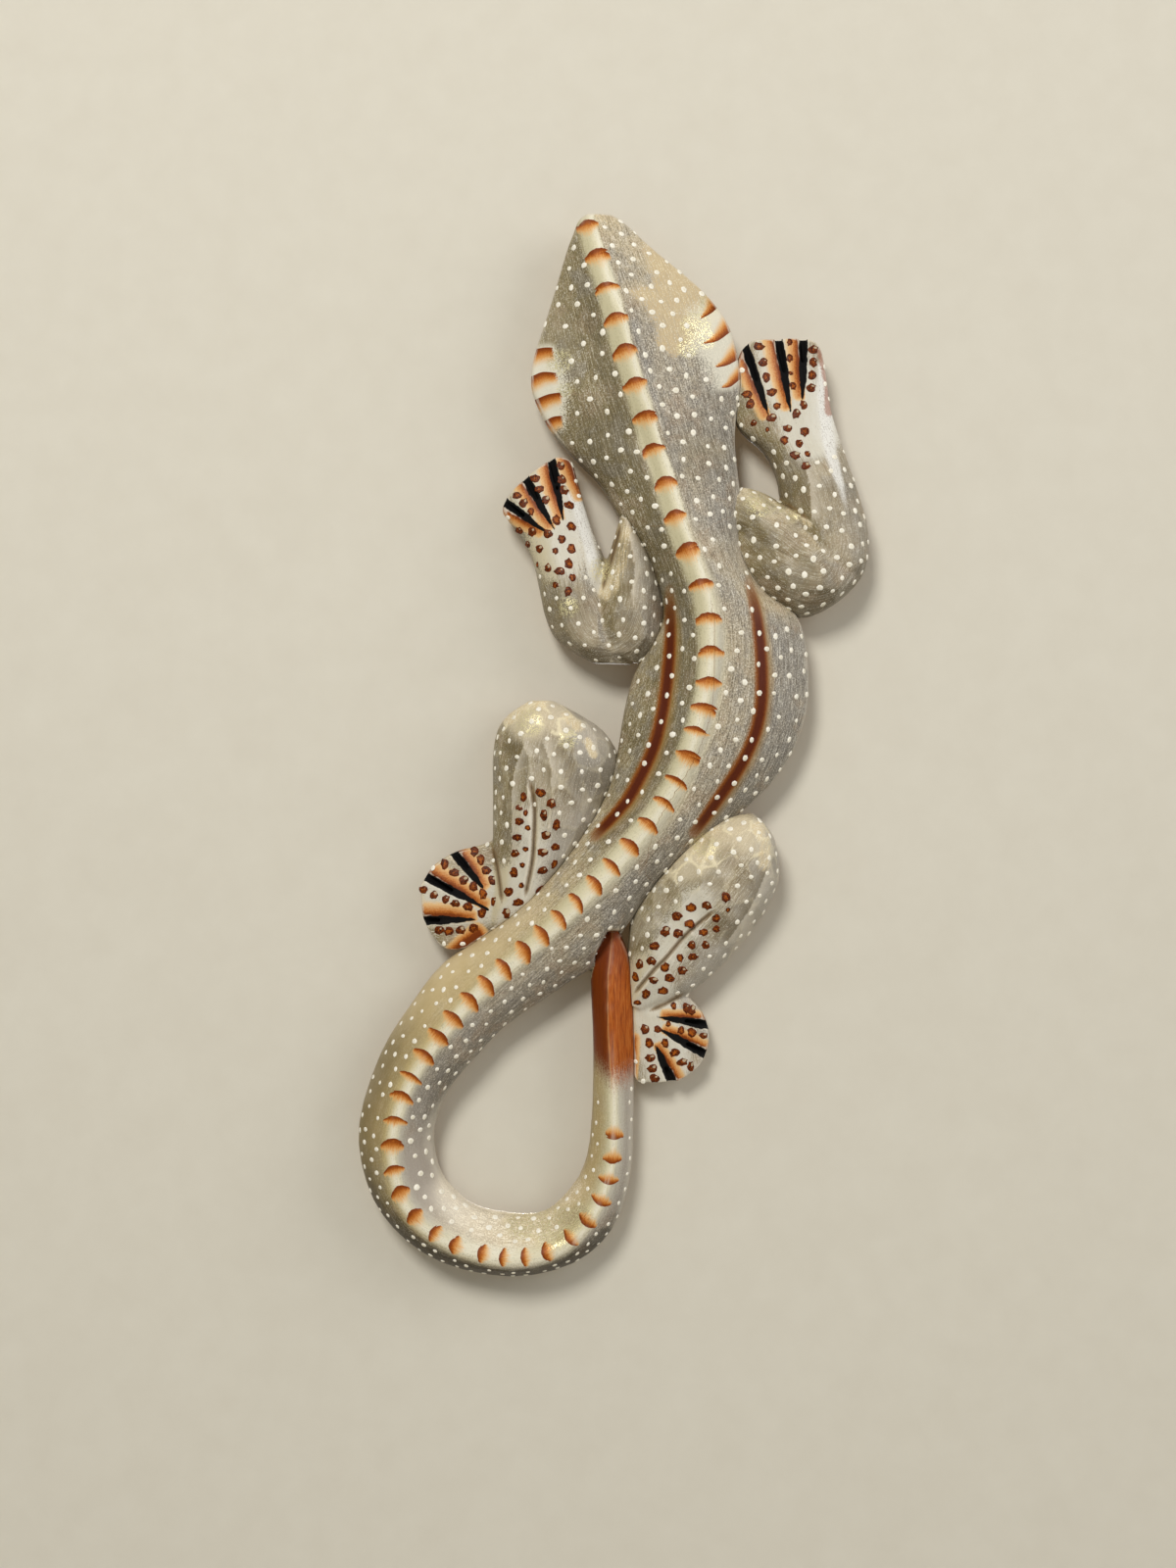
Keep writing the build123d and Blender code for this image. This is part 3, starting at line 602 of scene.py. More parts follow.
def spots_on(flat, spots, core, rim):
    """Soft round spots: full within a share of their reach, gone beyond another."""
    shade = np.zeros(len(flat))
    for x, z, reach, *strength in spots:
        gap = np.hypot(flat[:, 0] - x, flat[:, 1] - z)
        here = 1 - rise(gap, core * reach, rim * reach)
        shade = np.maximum(shade, (strength[0] if strength else 1) * here)
    return shade


def lines_on(flat, lines):
    """Lines with a soft edge, which takes most of their reach where none is given."""
    shade = np.zeros(len(flat))
    for line, reach, *soft in lines:
        full = reach - (soft[0] if soft else 0.8 * reach)
        shade = np.maximum(shade, 1 - rise(Course(line).near(flat)[0], full, reach))
    return shade


# ---------------- the carved legs
def fold_shade(flat, folds):
    """Painted light and shade across a change of plane: along each fold 1 on its left, painted in
    shade, fading slowly away from it, and -1 on its right, painted lighter.
    """
    shade = np.zeros(len(flat))
    for line, reach in folds:
        course = Course(line)
        run, aside = course.measure(flat)
        inside = rise(run, -5, 5) * (1 - rise(run, course.length - 4, course.length + 3))
        here = inside * np.sign(aside) * np.exp(-np.abs(aside) / reach)
        shade = np.where(np.abs(here) > np.abs(shade), here, shade)
    return shade


def on_hand(flat, plan):
    """1 on the digits and the back of the hand or foot, 0 on the limb."""
    middle = np.mean([apex for apex, *_ in plan["grooves"]], axis=0)
    return 1 - rise(np.hypot(*(flat - middle).T), 34, 48)


def carve_leg(name, plan, seed):
    """The skin of a leg, with its creases and flats cut in and all that its paint reads."""
    piece = skin(name + "_carving", merged_copy(name), LEG_GRAIN)
    mesh = piece.data
    links = links_of(mesh)
    points = relaxed(places_of(mesh), links, 3)
    flat = seen(points)
    along, left = Course(plan["course"]).measure(flat)
    front = rise(-points[:, 1], 5, 9)

    cut = np.full(len(points), 9.0)
    for line, depth, width in plan["creases"]:
        course = Course(line)
        gap, run = course.near(flat)
        fade = rise(np.minimum(run, course.length - run), -1, 5)
        press(points, depth * fade * np.exp(-(gap / width) ** 2) * front)
        cut = np.minimum(cut, gap + 1.5 * (1 - fade))
    press(points, knife_marks(points, along, left, seed, LEG_KNIFE) * front)
    hand = on_hand(flat, plan)
    hollow, ridge_gap, flat_tone = scoops(points, SCOOP_SIZE, SCOOP_DEPTH, seed)
    press(points, hollow * front * (1 - 0.7 * hand))
    place(mesh, points)
    worn_edge = 1.6 * rise(waviness(points, 9, seed + 5), 0.0, 0.5)
    note(mesh, flat_edge=ridge_gap + worn_edge + 6 * hand,
         flat_tone=0.5 + (flat_tone - 0.5) * (1 - hand))

    groove = np.full(len(points), 9.0)
    for apex, mouth, _ in plan["grooves"]:
        course = Course([apex, mouth], 0.5)
        run, aside = course.measure(flat)
        share = run / course.length
        half = np.interp(share, [-0.1, 0, 0.25, 0.55, 0.8, 1.05], [0, 0.5, 1.4, 2.0, 2.0, 1.4])
        gap = np.maximum(np.abs(aside) - half, -run - 2.5)
        groove = np.minimum(groove, gap)

    warm = np.zeros(len(points))
    beside_grooves = [((apex, mouth), reach) for apex, mouth, reach in plan["grooves"]]
    for line, reach in beside_grooves + plan.get("strokes", []):
        course = Course(line, 0.5)
        run, aside = course.measure(flat)
        side = aside if reach > 0 else -aside
        beyond = np.maximum(0, np.maximum(-run, run - course.length))
        taper = abs(reach) * np.interp(run / course.length, [-0.2, 0, 0.6, 1], [0.3, 0.5, 0.9, 1])
        fade = (1 - np.hypot(np.maximum(0, side - 2.0), beyond * 1.3) / taper).clip(0, 1)
        fade *= rise(side, -1.2, -0.6) * np.interp(run / course.length, [0, 0.4], [0.65, 1])
        warm = np.maximum(warm, fade)

    # Painted sheen: strips of reflected light along the limb, narrowing from the first reach to
    # the last
    sheen = np.zeros(len(points))
    for line, first, last in plan["sheen"]:
        course = Course(line)
        gap, run = course.near(flat)
        reach = np.interp(run / course.length, [0, 1], [first, last])
        ending = 1 - 0.7 * rise(run / course.length, 0.7, 1.05)
        sheen = np.maximum(sheen, ending * (1 - rise(gap / reach, 0, 1)))

    note_form(mesh, points, links)
    pale = lines_on(flat, plan["pale"])
    note(mesh, stroke_run=along, stroke_aside=unrolled(points, along, left), groove=groove,
         warm=warm, pale=pale, cut=cut, sheen=sheen, fold=fold_shade(flat, plan["folds"]),
         gilt=lines_on(flat, plan["gilt"]), blush=lines_on(flat, plan.get("blush", [])),
         dusk=spots_on(flat, plan["dusk"], 0.1, 1.2), gold=spots_on(flat, GOLD, 0.2, 1.3),
         light=np.full(len(points), float("hind" in name)))
    return piece, points, pale, groove


# ---------------- raised dots
def scatter(points, allowed, spacing, seed):
    """Seeded vertices of the skin, no nearer to each other than their spacing."""
    rng = random.Random(seed)
    order = [int(i) for i in np.flatnonzero(allowed)]
    rng.shuffle(order)
    cell = float(np.max(spacing))
    columns = (points[:, [0, 2]] // cell).astype(int)
    grid, chosen = {}, []
    for i in order:
        p, (a, b) = points[i], columns[i]
        near = [j for m in (a - 1, a, a + 1) for n in (b - 1, b, b + 1)
                for j in grid.get((m, n), ())]
        if not near or (((points[near] - p) ** 2).sum(axis=1) >= spacing[i] ** 2).all():
            grid.setdefault((a, b), []).append(i)
            chosen.append(i)
    return chosen


def dots(name, spots, seed, across, height, ragged):
    """Blobs of thick paint, each sunk a little into the wood: (centre, normal, size)."""
    rng = np.random.default_rng(seed)
    bm = bmesh.new()
    bmesh.ops.create_uvsphere(bm, u_segments=12, v_segments=8, radius=1)
    bm.verts.index_update()
    blob = np.array([v.co for v in bm.verts])
    sides = [[v.index for v in f.verts] for f in bm.faces]
    bm.free()
    around = np.arctan2(blob[:, 1], blob[:, 0])
    corners, faces, kinds = [], [], []
    for centre, normal, size in spots:
        upright = np.array(Vector(normal).to_track_quat("Z", "Y").to_matrix())
        stretch = rng.uniform(0.86, 1.14)
        start = rng.uniform(0, 2 * np.pi, 4)
        edge = 1 + ragged * sum(np.sin(around * k + s) / 2 for k, s in zip((2, 3, 5, 6), start))
        reach = (across * size / 2 * stretch, across * size / 2 / stretch,
                 height * (0.6 + 0.4 * size))
        shaped = blob * reach
        shaped[:, :2] *= edge[:, None]
        first = len(corners) * len(blob)
        corners.append(shaped @ upright.T + np.array(centre))
        faces += [[first + i for i in side] for side in sides]
        kinds.append(np.full(len(blob), rng.uniform()))
    mesh = bpy.data.meshes.new(name)
    mesh.from_pydata(np.concatenate(corners) * MM, [], faces)
    mesh.shade_smooth()
    note(mesh, across=np.tile(blob[:, 0], len(spots)), up=np.tile(blob[:, 1], len(spots)),
         kind=np.concatenate(kinds))
    return link(bpy.data.objects.new(name, mesh))


# ---------------- paint
def maths(operation, swap=False):
    """A method that adds a Math node."""
    def method(self, other=0.0):
        first, second = (other, self) if swap else (self, other)
        return Tone.node("Math", {"operation": operation}, {0: first, 1: second})
    return method


class Tone:
    """An output of a node in a material.  Arithmetic on it adds Math nodes."""

    tree = None
    __add__ = __radd__ = maths("ADD")
    __sub__, __rsub__ = maths("SUBTRACT"), maths("SUBTRACT", swap=True)
    __mul__ = __rmul__ = maths("MULTIPLY")
    __truediv__ = maths("DIVIDE")
    size, part, floor, root = [maths(name) for name in ("ABSOLUTE", "FRACT", "FLOOR", "SQRT")]
    top, over, below = maths("MAXIMUM"), maths("GREATER_THAN"), maths("LESS_THAN")

    def __init__(self, socket):
        self.socket = socket

    @classmethod
    def node(cls, kind, settings=None, inputs=None, output=0):
        """A new node: its settings first, then the values or links of its sockets."""
        made = cls.tree.nodes.new("ShaderNode" + kind)
        for key, value in (settings or {}).items():
            setattr(made, key, value)
        for key, value in (inputs or {}).items():
            if isinstance(value, Tone):
                cls.tree.links.new(value.socket, made.inputs[key])
            else:
                made.inputs[key].default_value = value
        return cls(made.outputs[output])

    def rise(self, low, high, first=0.0, last=1.0):
        """0 below low, 1 above high and a smooth step between them."""
        return Tone.node("MapRange", {"interpolation_type": "SMOOTHSTEP"},
                         {"Value": self, "From Min": low, "From Max": high, "To Min": first,
                          "To Max": last})

    def fall(self, low, high):
        """1 below low, 0 above high."""
        return self.rise(low, high, 1.0, 0.0)

    def span(self, low, full, end, high):
        """1 between full and end, 0 below low and above high."""
        return self.rise(low, full) * self.fall(end, high)

    def steps(self, start, *changes):
        """A start with smooth changes after it: from, to and by how much."""
        return start + sum(self.rise(low, high) * change for low, high, change in changes)


def rgb(code):
    """A colour from its usual six figures."""
    parts = [int(code[i:i + 2], 16) / 255 for i in (0, 2, 4)]
    return tuple(p / 12.92 if p <= 0.04045 else ((p + 0.055) / 1.055) ** 2.4 for p in parts) + (1,)


def blend(base, cover, amount):
    """One colour over another."""
    base, cover = [rgb(c) if isinstance(c, str) else c for c in (base, cover)]
    return Tone.node("Mix", {"data_type": "RGBA"}, {0: amount, 6: base, 7: cover}, output=2)


def coats(colour, *layers):
    """A colour with others laid over it in turn: what each is, and how much it covers."""
    for cover, amount in layers:
        colour = blend(colour, cover, amount)
    return colour


def value(name):
    return Tone.node("Attribute", {"attribute_name": name}, output=2)


def vector(x, y, z=0.0):
    return Tone.node("CombineXYZ", inputs={0: x, 1: y, 2: z})


def cloud(where, scale, detail=3.0, roughness=0.55):
    return Tone.node("TexNoise", inputs={"Vector": where, "Scale": scale, "Detail": detail,
                                         "Roughness": roughness})


def object_place():
    return Tone.node("TexCoord", output=3)


def drawn_out(scale):
    """The place on the object, drawn out along the axes with a small scale."""
    return Tone.node("Mapping", inputs={0: object_place(), "Scale": scale})


def depth_in_wood():
    return Tone.node("SeparateXYZ", inputs={0: object_place()}, output=1)


def new_material(name):
    material = bpy.data.materials.new(name)
    material.use_nodes = True
    material.node_tree.nodes.clear()
    Tone.tree = material.node_tree
    return material


def end_in(shader, material):
    output = Tone.tree.nodes.new("ShaderNodeOutputMaterial")
    Tone.tree.links.new(shader.socket, output.inputs["Surface"])
    return material


def finish(material, colour, roughness, bump, depth, metallic=0.0, specular=0.5):
    """Ends a material in one Principled shader, with a bump as deep as depth in mm."""
    relief = Tone.node("Bump", inputs={"Height": bump, "Distance": depth * MM, "Strength": 1.0})
    return end_in(Tone.node("BsdfPrincipled", inputs={
        "Base Color": colour, "Roughness": roughness, "Metallic": metallic,
        "Specular IOR Level": specular, "Normal": relief}), material)


def weave_of_strokes():
    """Brush streaks along the limb, fine ones, patches and specks: four values near 0."""
    run, across = value("stroke_run"), value("stroke_aside")
    depth = depth_in_wood() / MM
    broad = cloud(vector(run / 13, across / 1.05, depth / 8), 1.0, 3.0, 0.65)
    fine = cloud(vector(run / 6, across / 0.42, 3.0), 1.0, 3.0, 0.65)
    blotch = cloud(object_place(), 36.0, 4.0, 0.6)
    speck = cloud(object_place(), 1500.0, 1.0)
    return [tone - 0.5 for tone in (broad, fine, blotch, speck)]


def grit_of(fine, speck):
    return fine * 0.6 + speck * 0.4


def ground(broad, fine, blotch, speck, calm=0.0, painted_underside_shade=1.0):
    """Brushed taupe: olive where it leans left, warm grey in front, mauve where it leans right, in
    part the paint's own airbrushed tone and in part painted reflection and shade; lighter where
    it faces up, a painted highlight, and darker where it faces down, painted shade.
    """
    lean = value("lean") + blotch * 0.7 + speck * 0.4
    tilt = value("tilt") + blotch * 0.5
    patch = cloud(object_place(), 75.0, 3.0, 0.6) - 0.5
    grit = grit_of(fine, speck)
    lively = 1 - calm
    return coats(
        # By which way the skin faces: in part airbrushed tone, in part painted reflection and
        # shade; then a painted highlight facing up and painted shade facing down
        blend("877952", "B2A48A", lean.rise(-0.4, 0.1)),
        ("8D8881", lean.rise(0.12, 0.55) * 0.88),
        ("DCC9A2", tilt.rise(0.1, 0.6) * 0.7),
        ("4A4131", tilt.fall(-0.65, -0.12) * painted_underside_shade * 0.85),
        # Patches, then broad streaks and grit, each dark and pale
        ("A58E74", patch.rise(0, 0.16) * 0.45),
        ("8D8984", patch.fall(-0.16, 0) * 0.45),
        ("665B45", broad.rise(0, 0.16) * lively * 0.45),
        ("D3CAB2", broad.fall(-0.18, -0.02) * lively * 0.32),
        ("40382A", grit.rise(0.01, 0.11) * lively * 0.64),
        ("EFEADB", grit.fall(-0.12, -0.02) * lively * 0.62))


def sparkle():
    """A random number for each grain of powder."""
    grain = Tone.node("VectorMath", {"operation": "SNAP"},
                      {0: object_place(), 1: (GRAIN_OF_POWDER * MM,) * 3})
    return Tone.node("TexWhiteNoise", {"noise_dimensions": "3D"}, {"Vector": grain})


def powder(blotch):
    """How thick gold powder lies, and its grains that catch the light; at some spots it stands for
    painted glints.
    """
    dust = value("gold") + blotch * 0.8
    return dust, sparkle().over(0.58) * dust.rise(0.15, 0.8)


def bare_back(colour, depth):
    """Plain sawn wood on the flat back, with paint that ran over its edge."""
    grain = cloud(drawn_out((1.0, 1.0, 0.06)), 520.0, 4.0, 0.6)
    wood = blend("C9A878", "A37F52", grain.rise(0.35, 0.7))
    edge = cloud(object_place(), 90.0, 2.0) * 0.8 * MM
    return blend(colour, wood, (depth + edge).rise(-0.5 * MM, -0.1 * MM))


def finish_skin(material, colour, broad, fine, grains, duller, depth):
    """Satin paint with brush marks and powder in front, dull bare wood on the back."""
    deep = depth_in_wood()
    rough = 0.46 + broad * 0.26 + fine * 0.14 + duller + deep.rise(-1.5 * MM, -0.4 * MM) * 0.3
    bump = broad * 0.5 + fine * 0.35 + grains * 0.4
    return finish(material, bare_back(colour, deep), rough, bump, depth, grains * 0.6, 0.22)


def brown_dab(colour, phase, share):
    """A dab of the airbrush: darkest at its sharp front, then orange, then gold."""
    return coats(colour, ("DEAA65", phase.fall(share * 0.42, share * 1.0)),
                 ("B8661A", phase.fall(share * 0.22, share * 0.68)),
                 ("7A3400", phase.fall(share * 0.04, share * 0.4)))


def chance(count, seed):
    """A steady random number for each whole count."""
    return Tone.node("TexWhiteNoise", {"noise_dimensions": "1D"},
                     {"W": count.floor() + (seed + 0.5)})


def body_paint():
    material = new_material("body_paint")
    broad, fine, blotch, speck = weave_of_strokes()
    grit = grit_of(fine, speck)
    run, aside = value("along"), value("left")
    root, tail, loop = run.rise(330, 400), run.rise(330, 420), run.rise(440, 490)
    claw = run.rise(300, 380)

    # Ground: painted light and shade on the flanks of the tail and its bend, painted shade in
    # spots and beside the band, a painted highlight on side walls facing right, and the beige
    # cheek
    lean, tilt = value("lean") + blotch * 0.4, value("tilt")
    level = tail * tilt.rise(-0.5, 0.1)
    outer = aside.fall(-27, -13) * run.span(10, 40, 60, 95)
    beige = (value("beige") + (fine + speck) * 8 + blotch * 12).rise(-0.3, 0.5)
    colour = coats(
        ground(broad, fine, blotch, speck, tail * 0.2, 0.3 + loop * 0.7),
        # Painted light and shade on the tail by which way it faces: olive leaning left, grey
        # leaning right, painted highlights and glints facing up on the bend, painted shade facing
        # down and along the outer foot of the loop
        ("BFA977", level * lean.fall(-0.6, 0.0) * (0.62 + run.span(375, 400, 430, 460) * 0.3)),
        ("70603A", run.span(415, 465, 510, 560) * lean.fall(-0.85, -0.25) * 0.75),
        ("A69C90", level * lean.rise(0.1, 0.45) * (0.6 + run.rise(385, 425) * 0.25)),
        ("DDCBA6", tail * tilt.rise(0.3, 0.7) * (0.55 + blotch * 2)),
        ("EFE5D2", tilt.rise(0.15, 0.55) * run.span(455, 500, 540, 600) * 0.6),
        ("FBF2DC", tail * tilt.rise(0.3, 0.6) * run.rise(440, 500) * grit.fall(-0.1, 0.02) * 0.85),
        ("3A3226", loop * tilt.fall(-0.75, -0.12) * 0.78),
        ("4A4032", run.span(500, 525, 590, 620) * (blotch * 4 - aside).rise(8.5, 12.5) * 0.7),
        # Painted shade in spots and beside the band
        ("5F563F", value("dusk") * (0.7 + broad * 1.4)),
        ("B5A98D", outer * (0.2 + (fine + broad) * 0.6 + blotch)),
        # Painted highlight on side walls that face right
        ("D2CBBC", value("lean").rise(0.72, 0.92) * 0.5),
        ("C9B48D", beige * (0.7 + speck * 1.8 + broad * 1.6)),
        ("EADCB4", beige * grit.fall(-0.14, -0.02) * 0.6))

    # Cream band along the spine, darker on its left slope and right edge as painted shade, with a
    # painted highlight along its crest
    half = run.steps(4.5, (0, 30, 0.7), (150, 210, 0.7), (330, 400, -1.1))
    across = (aside + (1 - root) * 0.5) / half
    spread = across.size() + broad * 0.35 + speck * 0.25
    soft = (root * 0.3 + across.fall(-0.3, 0) * 0.3
            + across.rise(0.1, 0.9) * run.rise(110, 200) * 0.4)
    # The band's tone by which way it faces: painted shade on the slopes, painted highlight on the
    # crest
    lean = value("lean") + fine * 0.3
    cream = coats(
        blend("C8C09E", "BFAC78", tail * run.fall(600, 650)),
        ("DCD4B6", lean.rise(-0.42, -0.02)),
        ("EAE5D4", (lean - 0.08).size().fall(0.02, 0.2) * 0.55),
        ("B7B3A8", lean.rise(0.12, 0.5) * 0.75),
        ("9E9470", grit.rise(0, 0.16) * 0.5))
    dust, grains = powder(blotch)
    colour = coats(
        colour,
        ("E0D5B4", spread.fall(0.9, 1.7) * across.over(0) * run.span(110, 200, 330, 380) * 0.45),
        (cream, spread.fall(0.88 - soft, 1.15 + soft * 0.6)),
        (GOLD_GRAIN, grains * 0.75),
        ("8C7C4E", sparkle().below(0.16) * dust.rise(0.25, 0.9) * 0.4))

    # Crescents over the band, each with a dark thin front and an orange spray behind it
    width = half + run.steps(1.0, (90, 130, -0.5), (240, 330, -0.6), (345, 400, 1.4),
                             (470, 545, -1.5), (590, 630, 0.6), (640, 665, -0.8))
    wide = (aside + 0.3 - root * 0.1) / width
    count = value("beat") - 0.2
    late = claw * 0.04 + run.steps(0.045, (120, 160, -0.025), (235, 270, 0.025))
    drop = wide * wide * (0.2 + claw * 0.02 + (chance(count, 3) - 0.5) * 0.1)
    skew = wide * ((chance(count, 2) - 0.5) * 0.1 - claw * run.fall(400, 450) * 0.1)
    wobble = (cloud(vector(run / 2, aside / 2), 1.0, 2.0) - 0.5) * 0.07
    phase = value("beat") - late - drop + skew + wobble
    share = ((0.43 + run.rise(60, 180) * 0.05 + claw * 0.07) * (0.8 + chance(count, 1) * 0.45)
             * (1.12 - wide * wide * (0.75 + claw * 0.12)).top(0.05))
    dabbed = brown_dab(colour, phase.part() * (1 + fine * 1.5) + speck * 0.12, share)
    colour = blend(colour, dabbed, phase.over(0.0) * phase.fall(52.5, 52.8)
                   * (wide.size() + fine * 0.12).fall(0.93, 1.03))

    # Stripes on the flanks
    ink = value("ink")
    spray = (value("stripe") + fine * 0.8) / value("gauge") + speck * 1.2
    colour = coats(
        colour,
        ("96722C", (spray - 0.7 + broad * 2).size().fall(1.8, 6.0) * ink * 0.62),
        ("8A4A0C", (spray + 0.1).size().fall(1.9, 3.9) * ink),
        ("561E02", (spray - 0.1).size().fall(0.9, 2.9) * ink.rise(0.3, 1)))

    # Bars on the cheeks
    bar, inward = value("bar"), value("inward")
    right = bar.over(RIGHT_FROM)
    count = bar - right * RIGHT_COUNT
    head = run.fall(112, 118)
    ragged = blotch * 0.5 + speck * 1.2
    on_cheek = (count + ragged * 0.3).rise(-0.3, 0.1) * (count + ragged).fall(3.1, 3.9) * head
    patch = (inward + ragged).fall(0.95, 1.4 + right * 0.5) * on_cheek
    colour = coats(colour, ("E4DFCC", patch * (0.9 - right * 0.12)),
                   ("EDE3AE", grains * patch * 0.8))
    taper = 1 - inward * (0.25 + right * 0.65)
    dabbed = brown_dab(colour, count.part() + (fine + speck) * 0.15,
                       (0.86 + right * 0.04) * taper.top(0.03))
    colour = blend(colour, dabbed, count.over(0.0) * (inward + speck * 0.3).fall(0.94, 1.06)
                   * count.fall(3.6, 3.9) * head)

    # Orange-brown tip of the tail: one facet darker as painted shade, the other with lighter
    # streaks, a painted highlight along the keel, and darker at the very end
    keel = aside - 0.8
    smear = broad * 0.5 + fine * 0.5
    dipped = (run - keel.size() * 0.9 - aside * 0.5 + (fine + speck) * 12).rise(*TIP_FADE)
    orange = coats(
        blend("A45010", "743202", (keel + fine * 0.6).rise(-0.5, 0.4)),
        ("BC7230", smear.fall(-0.1, 0) * aside.fall(-0.5, 3) * 0.75),
        ("D9A468", keel.size().fall(0.05, 0.5) * 0.45),
        ("5A2204", smear.rise(0, 0.12) * 0.7),
        ("6B2A10", run.rise(738, 760) * 0.5))

    # Worn ridges, and painted shade in the hollows
    colour = coats(
        colour, (orange, dipped),
        (WORN_EDGE, value("ridge").rise(0.06, 0.13) * broad.rise(-0.2, 0.05)
         * (0.8 - dipped * 0.6)),
        (HOLLOW_SHADE, value("edge").fall(-0.7, -0.2) * 0.6))
    return finish_skin(material, colour, broad, fine, grains, grains * -0.15, 0.16)


def leg_paint():
    material = new_material("leg_paint")
    broad, fine, blotch, speck = weave_of_strokes()
    grit = grit_of(fine, speck)
    light, flat_tone = value("light"), value("flat_tone")
    lean, edge_of_pale = value("lean"), value("pale")

    # Ground: the flats of the knife, painted shade in spots, folds of painted light and shade,
    # crests and thigh tops paler from wear and painted highlights, painted sheen and golden
    # highlights, and the pale shins, with painted light by which way the skin faces
    fold = value("fold") + fine * 0.1
    # The painted sheen on the hind legs: thigh tops paler from wear and painted highlight
    worn = value("sheen") * light
    crest = (value("flat_edge") + fine * 0.9 + speck * 0.6).fall(0.1, 0.75)
    pale = (edge_of_pale + speck * 2.2 + blotch * 0.9).rise(0.25, 0.85)
    painted_sheen = (value("sheen") + fine * 1.2 + blotch * 0.8).rise(0.25, 0.8) * (1 - light)
    gilt = (value("gilt") * (0.6 + (fine + broad + blotch) * 2.2)).rise(0.05, 0.7)
    colour = coats(
        ground(broad, fine, blotch, speck),
        ("7A6D50", 0.24 - light * 0.16),
        # Painted light on the hind legs where they face right
        ("B9B3A8", lean.rise(0.0, 0.5) * light * 0.6),
        ("776C55", flat_tone.fall(0.0, 0.45) * (0.12 + light * 0.12)),
        ("CBC1AE", flat_tone.rise(0.6, 1.0) * (0.13 + light * 0.13)),
        # Painted shade in spots
        ("54492F", value("dusk") * (0.7 + broad)),
        # Painted shade on the left of each fold, painted light on its right
        ("6A5D3F", fold.rise(0.1, 1.0) * 0.6),
        ("CFC6B4", fold.fall(-1.0, -0.1) * 0.55),
        # Paler thigh tops: worn paint and painted highlights
        ("DED0B0", (worn + blotch * 1.2).rise(0.1, 0.8) * worn.rise(0, 0.3) * 0.55),
        # Pale crests between the knife flats: worn paint, brightened as painted glints on the
        # thigh tops
        ("EBDFBC", crest * (0.04 + light * 0.1 + worn.rise(0.05, 0.45) * 0.65)),
        ("D3CFC0", pale * 0.82),
        ("625B50", grit.rise(0, 0.1) * edge_of_pale.span(0.0, 0.4, 0.5, 1.0) * 0.5),
        # Painted light and shade on the pale shins by which way they face
        ("ECE9E0", lean.rise(0.0, 0.5) * pale * 0.45),
        ("C9BB92", lean.fall(-0.6, -0.1) * pale * 0.6),
        # Painted sheen: a streaked strip of reflected light on the forelegs
        ("E6E4DD", painted_sheen * 0.88),
        ("77726C", grit.rise(0.02, 0.1) * painted_sheen * 0.55),
        # Painted golden highlights on lit ridges and facets, with painted glints
        ("DBC79C", gilt * 0.72),
        ("FBF6E6", gilt * grit.fall(-0.1, 0) * 0.9))

    # Strokes of orange, knife creases in brown paint and painted shade, powder, painted shade in
    # the hollows, and black in the grooves
    warm = value("warm") + (fine + speck) * 0.3
    _, grains = powder(blotch)
    waver = cloud(object_place(), 240.0, 2.0) - 0.5
    black = (value("groove") + waver * 1.7 + fine * 0.4).fall(-0.05, 0.3)
    colour = coats(
        colour,
        ("DEB273", warm.rise(0.0, 0.36) * 0.9),
        ("B8681E", warm.rise(0.22, 0.8) * 0.97),
        ("702E02", warm.rise(0.62, 0.94) * 0.95),
        ("A06A52", (value("blush") + speck).rise(0.2, 0.8) * 0.7),
        # Knife creases: brown paint in the groove, darkened further as painted shade
        ("806642", (value("cut") + speck * 0.8).fall(0.4, 1.7) * 0.8),
        ("3E3222", (value("cut") + fine * 0.6).fall(0.05, 0.55) * 0.6),
        (GOLD_GRAIN, grains * 0.75),
        (WORN_EDGE, value("ridge").rise(0.055, 0.1) * broad.rise(-0.2, 0.05) * 0.7),
        (HOLLOW_SHADE, value("edge").fall(-0.6, -0.2) * 0.5),
        ("070606", black))
    return finish_skin(material, colour, broad, fine, grains, black * 0.45, 0.14)


def dot_paint(name, light, dark, heart, notched):
    """Thick paint, thinner at the heart of a dot; on some a cream notch shows near the same upper
    corner.
    """
    material = new_material(name)
    mottle = cloud(object_place(), 1400.0, 2.0)
    across, up, kind = value("across"), value("up"), value("kind")
    rim = (across * across + up * up).root()
    thin = (rim + (mottle - 0.5) * 1.6 + kind * 0.6).fall(0.3, 0.75)
    off, above = across - 0.35 + (mottle - 0.5) * 0.8, up - 0.4
    notch = (off * off + above * above).root() - (kind - 0.55) * 0.95
    colour = coats(blend(light, dark, mottle.rise(0.35, 0.7)), (heart, thin * 0.7),
                   ("CBBB9A", notch.fall(-0.04, 0.05) * notched))
    return finish(material, colour, 0.38 + mottle * 0.15, mottle - thin * 0.4, 0.1, 0.0, 0.15)


def zinc_steel(name, tint, worn):
    """Zinc-plated steel with fine scratches and dull patches."""
    material = new_material(name)
    scratch = cloud(drawn_out((1.0, 1.0, 0.12)), 4200.0, 3.0, 0.7)
    dull = cloud(object_place(), 330.0, 3.0)
    colour = blend(tint, worn, dull.rise(0.45, 0.75) * 0.7)
    return finish(material, colour, 0.24 + scratch * 0.16 + dull * 0.15, scratch, 0.03, 0.95)


def bamboo():
    material = new_material("peg_bamboo")
    fibre = cloud(drawn_out((0.2, 1.0, 0.2)), 1800.0, 3.0, 0.6)
    colour = blend("D8BC84", "B08A50", fibre.rise(0.35, 0.7))
    return finish(material, colour, 0.55 + fibre * 0.15, fibre, 0.1)


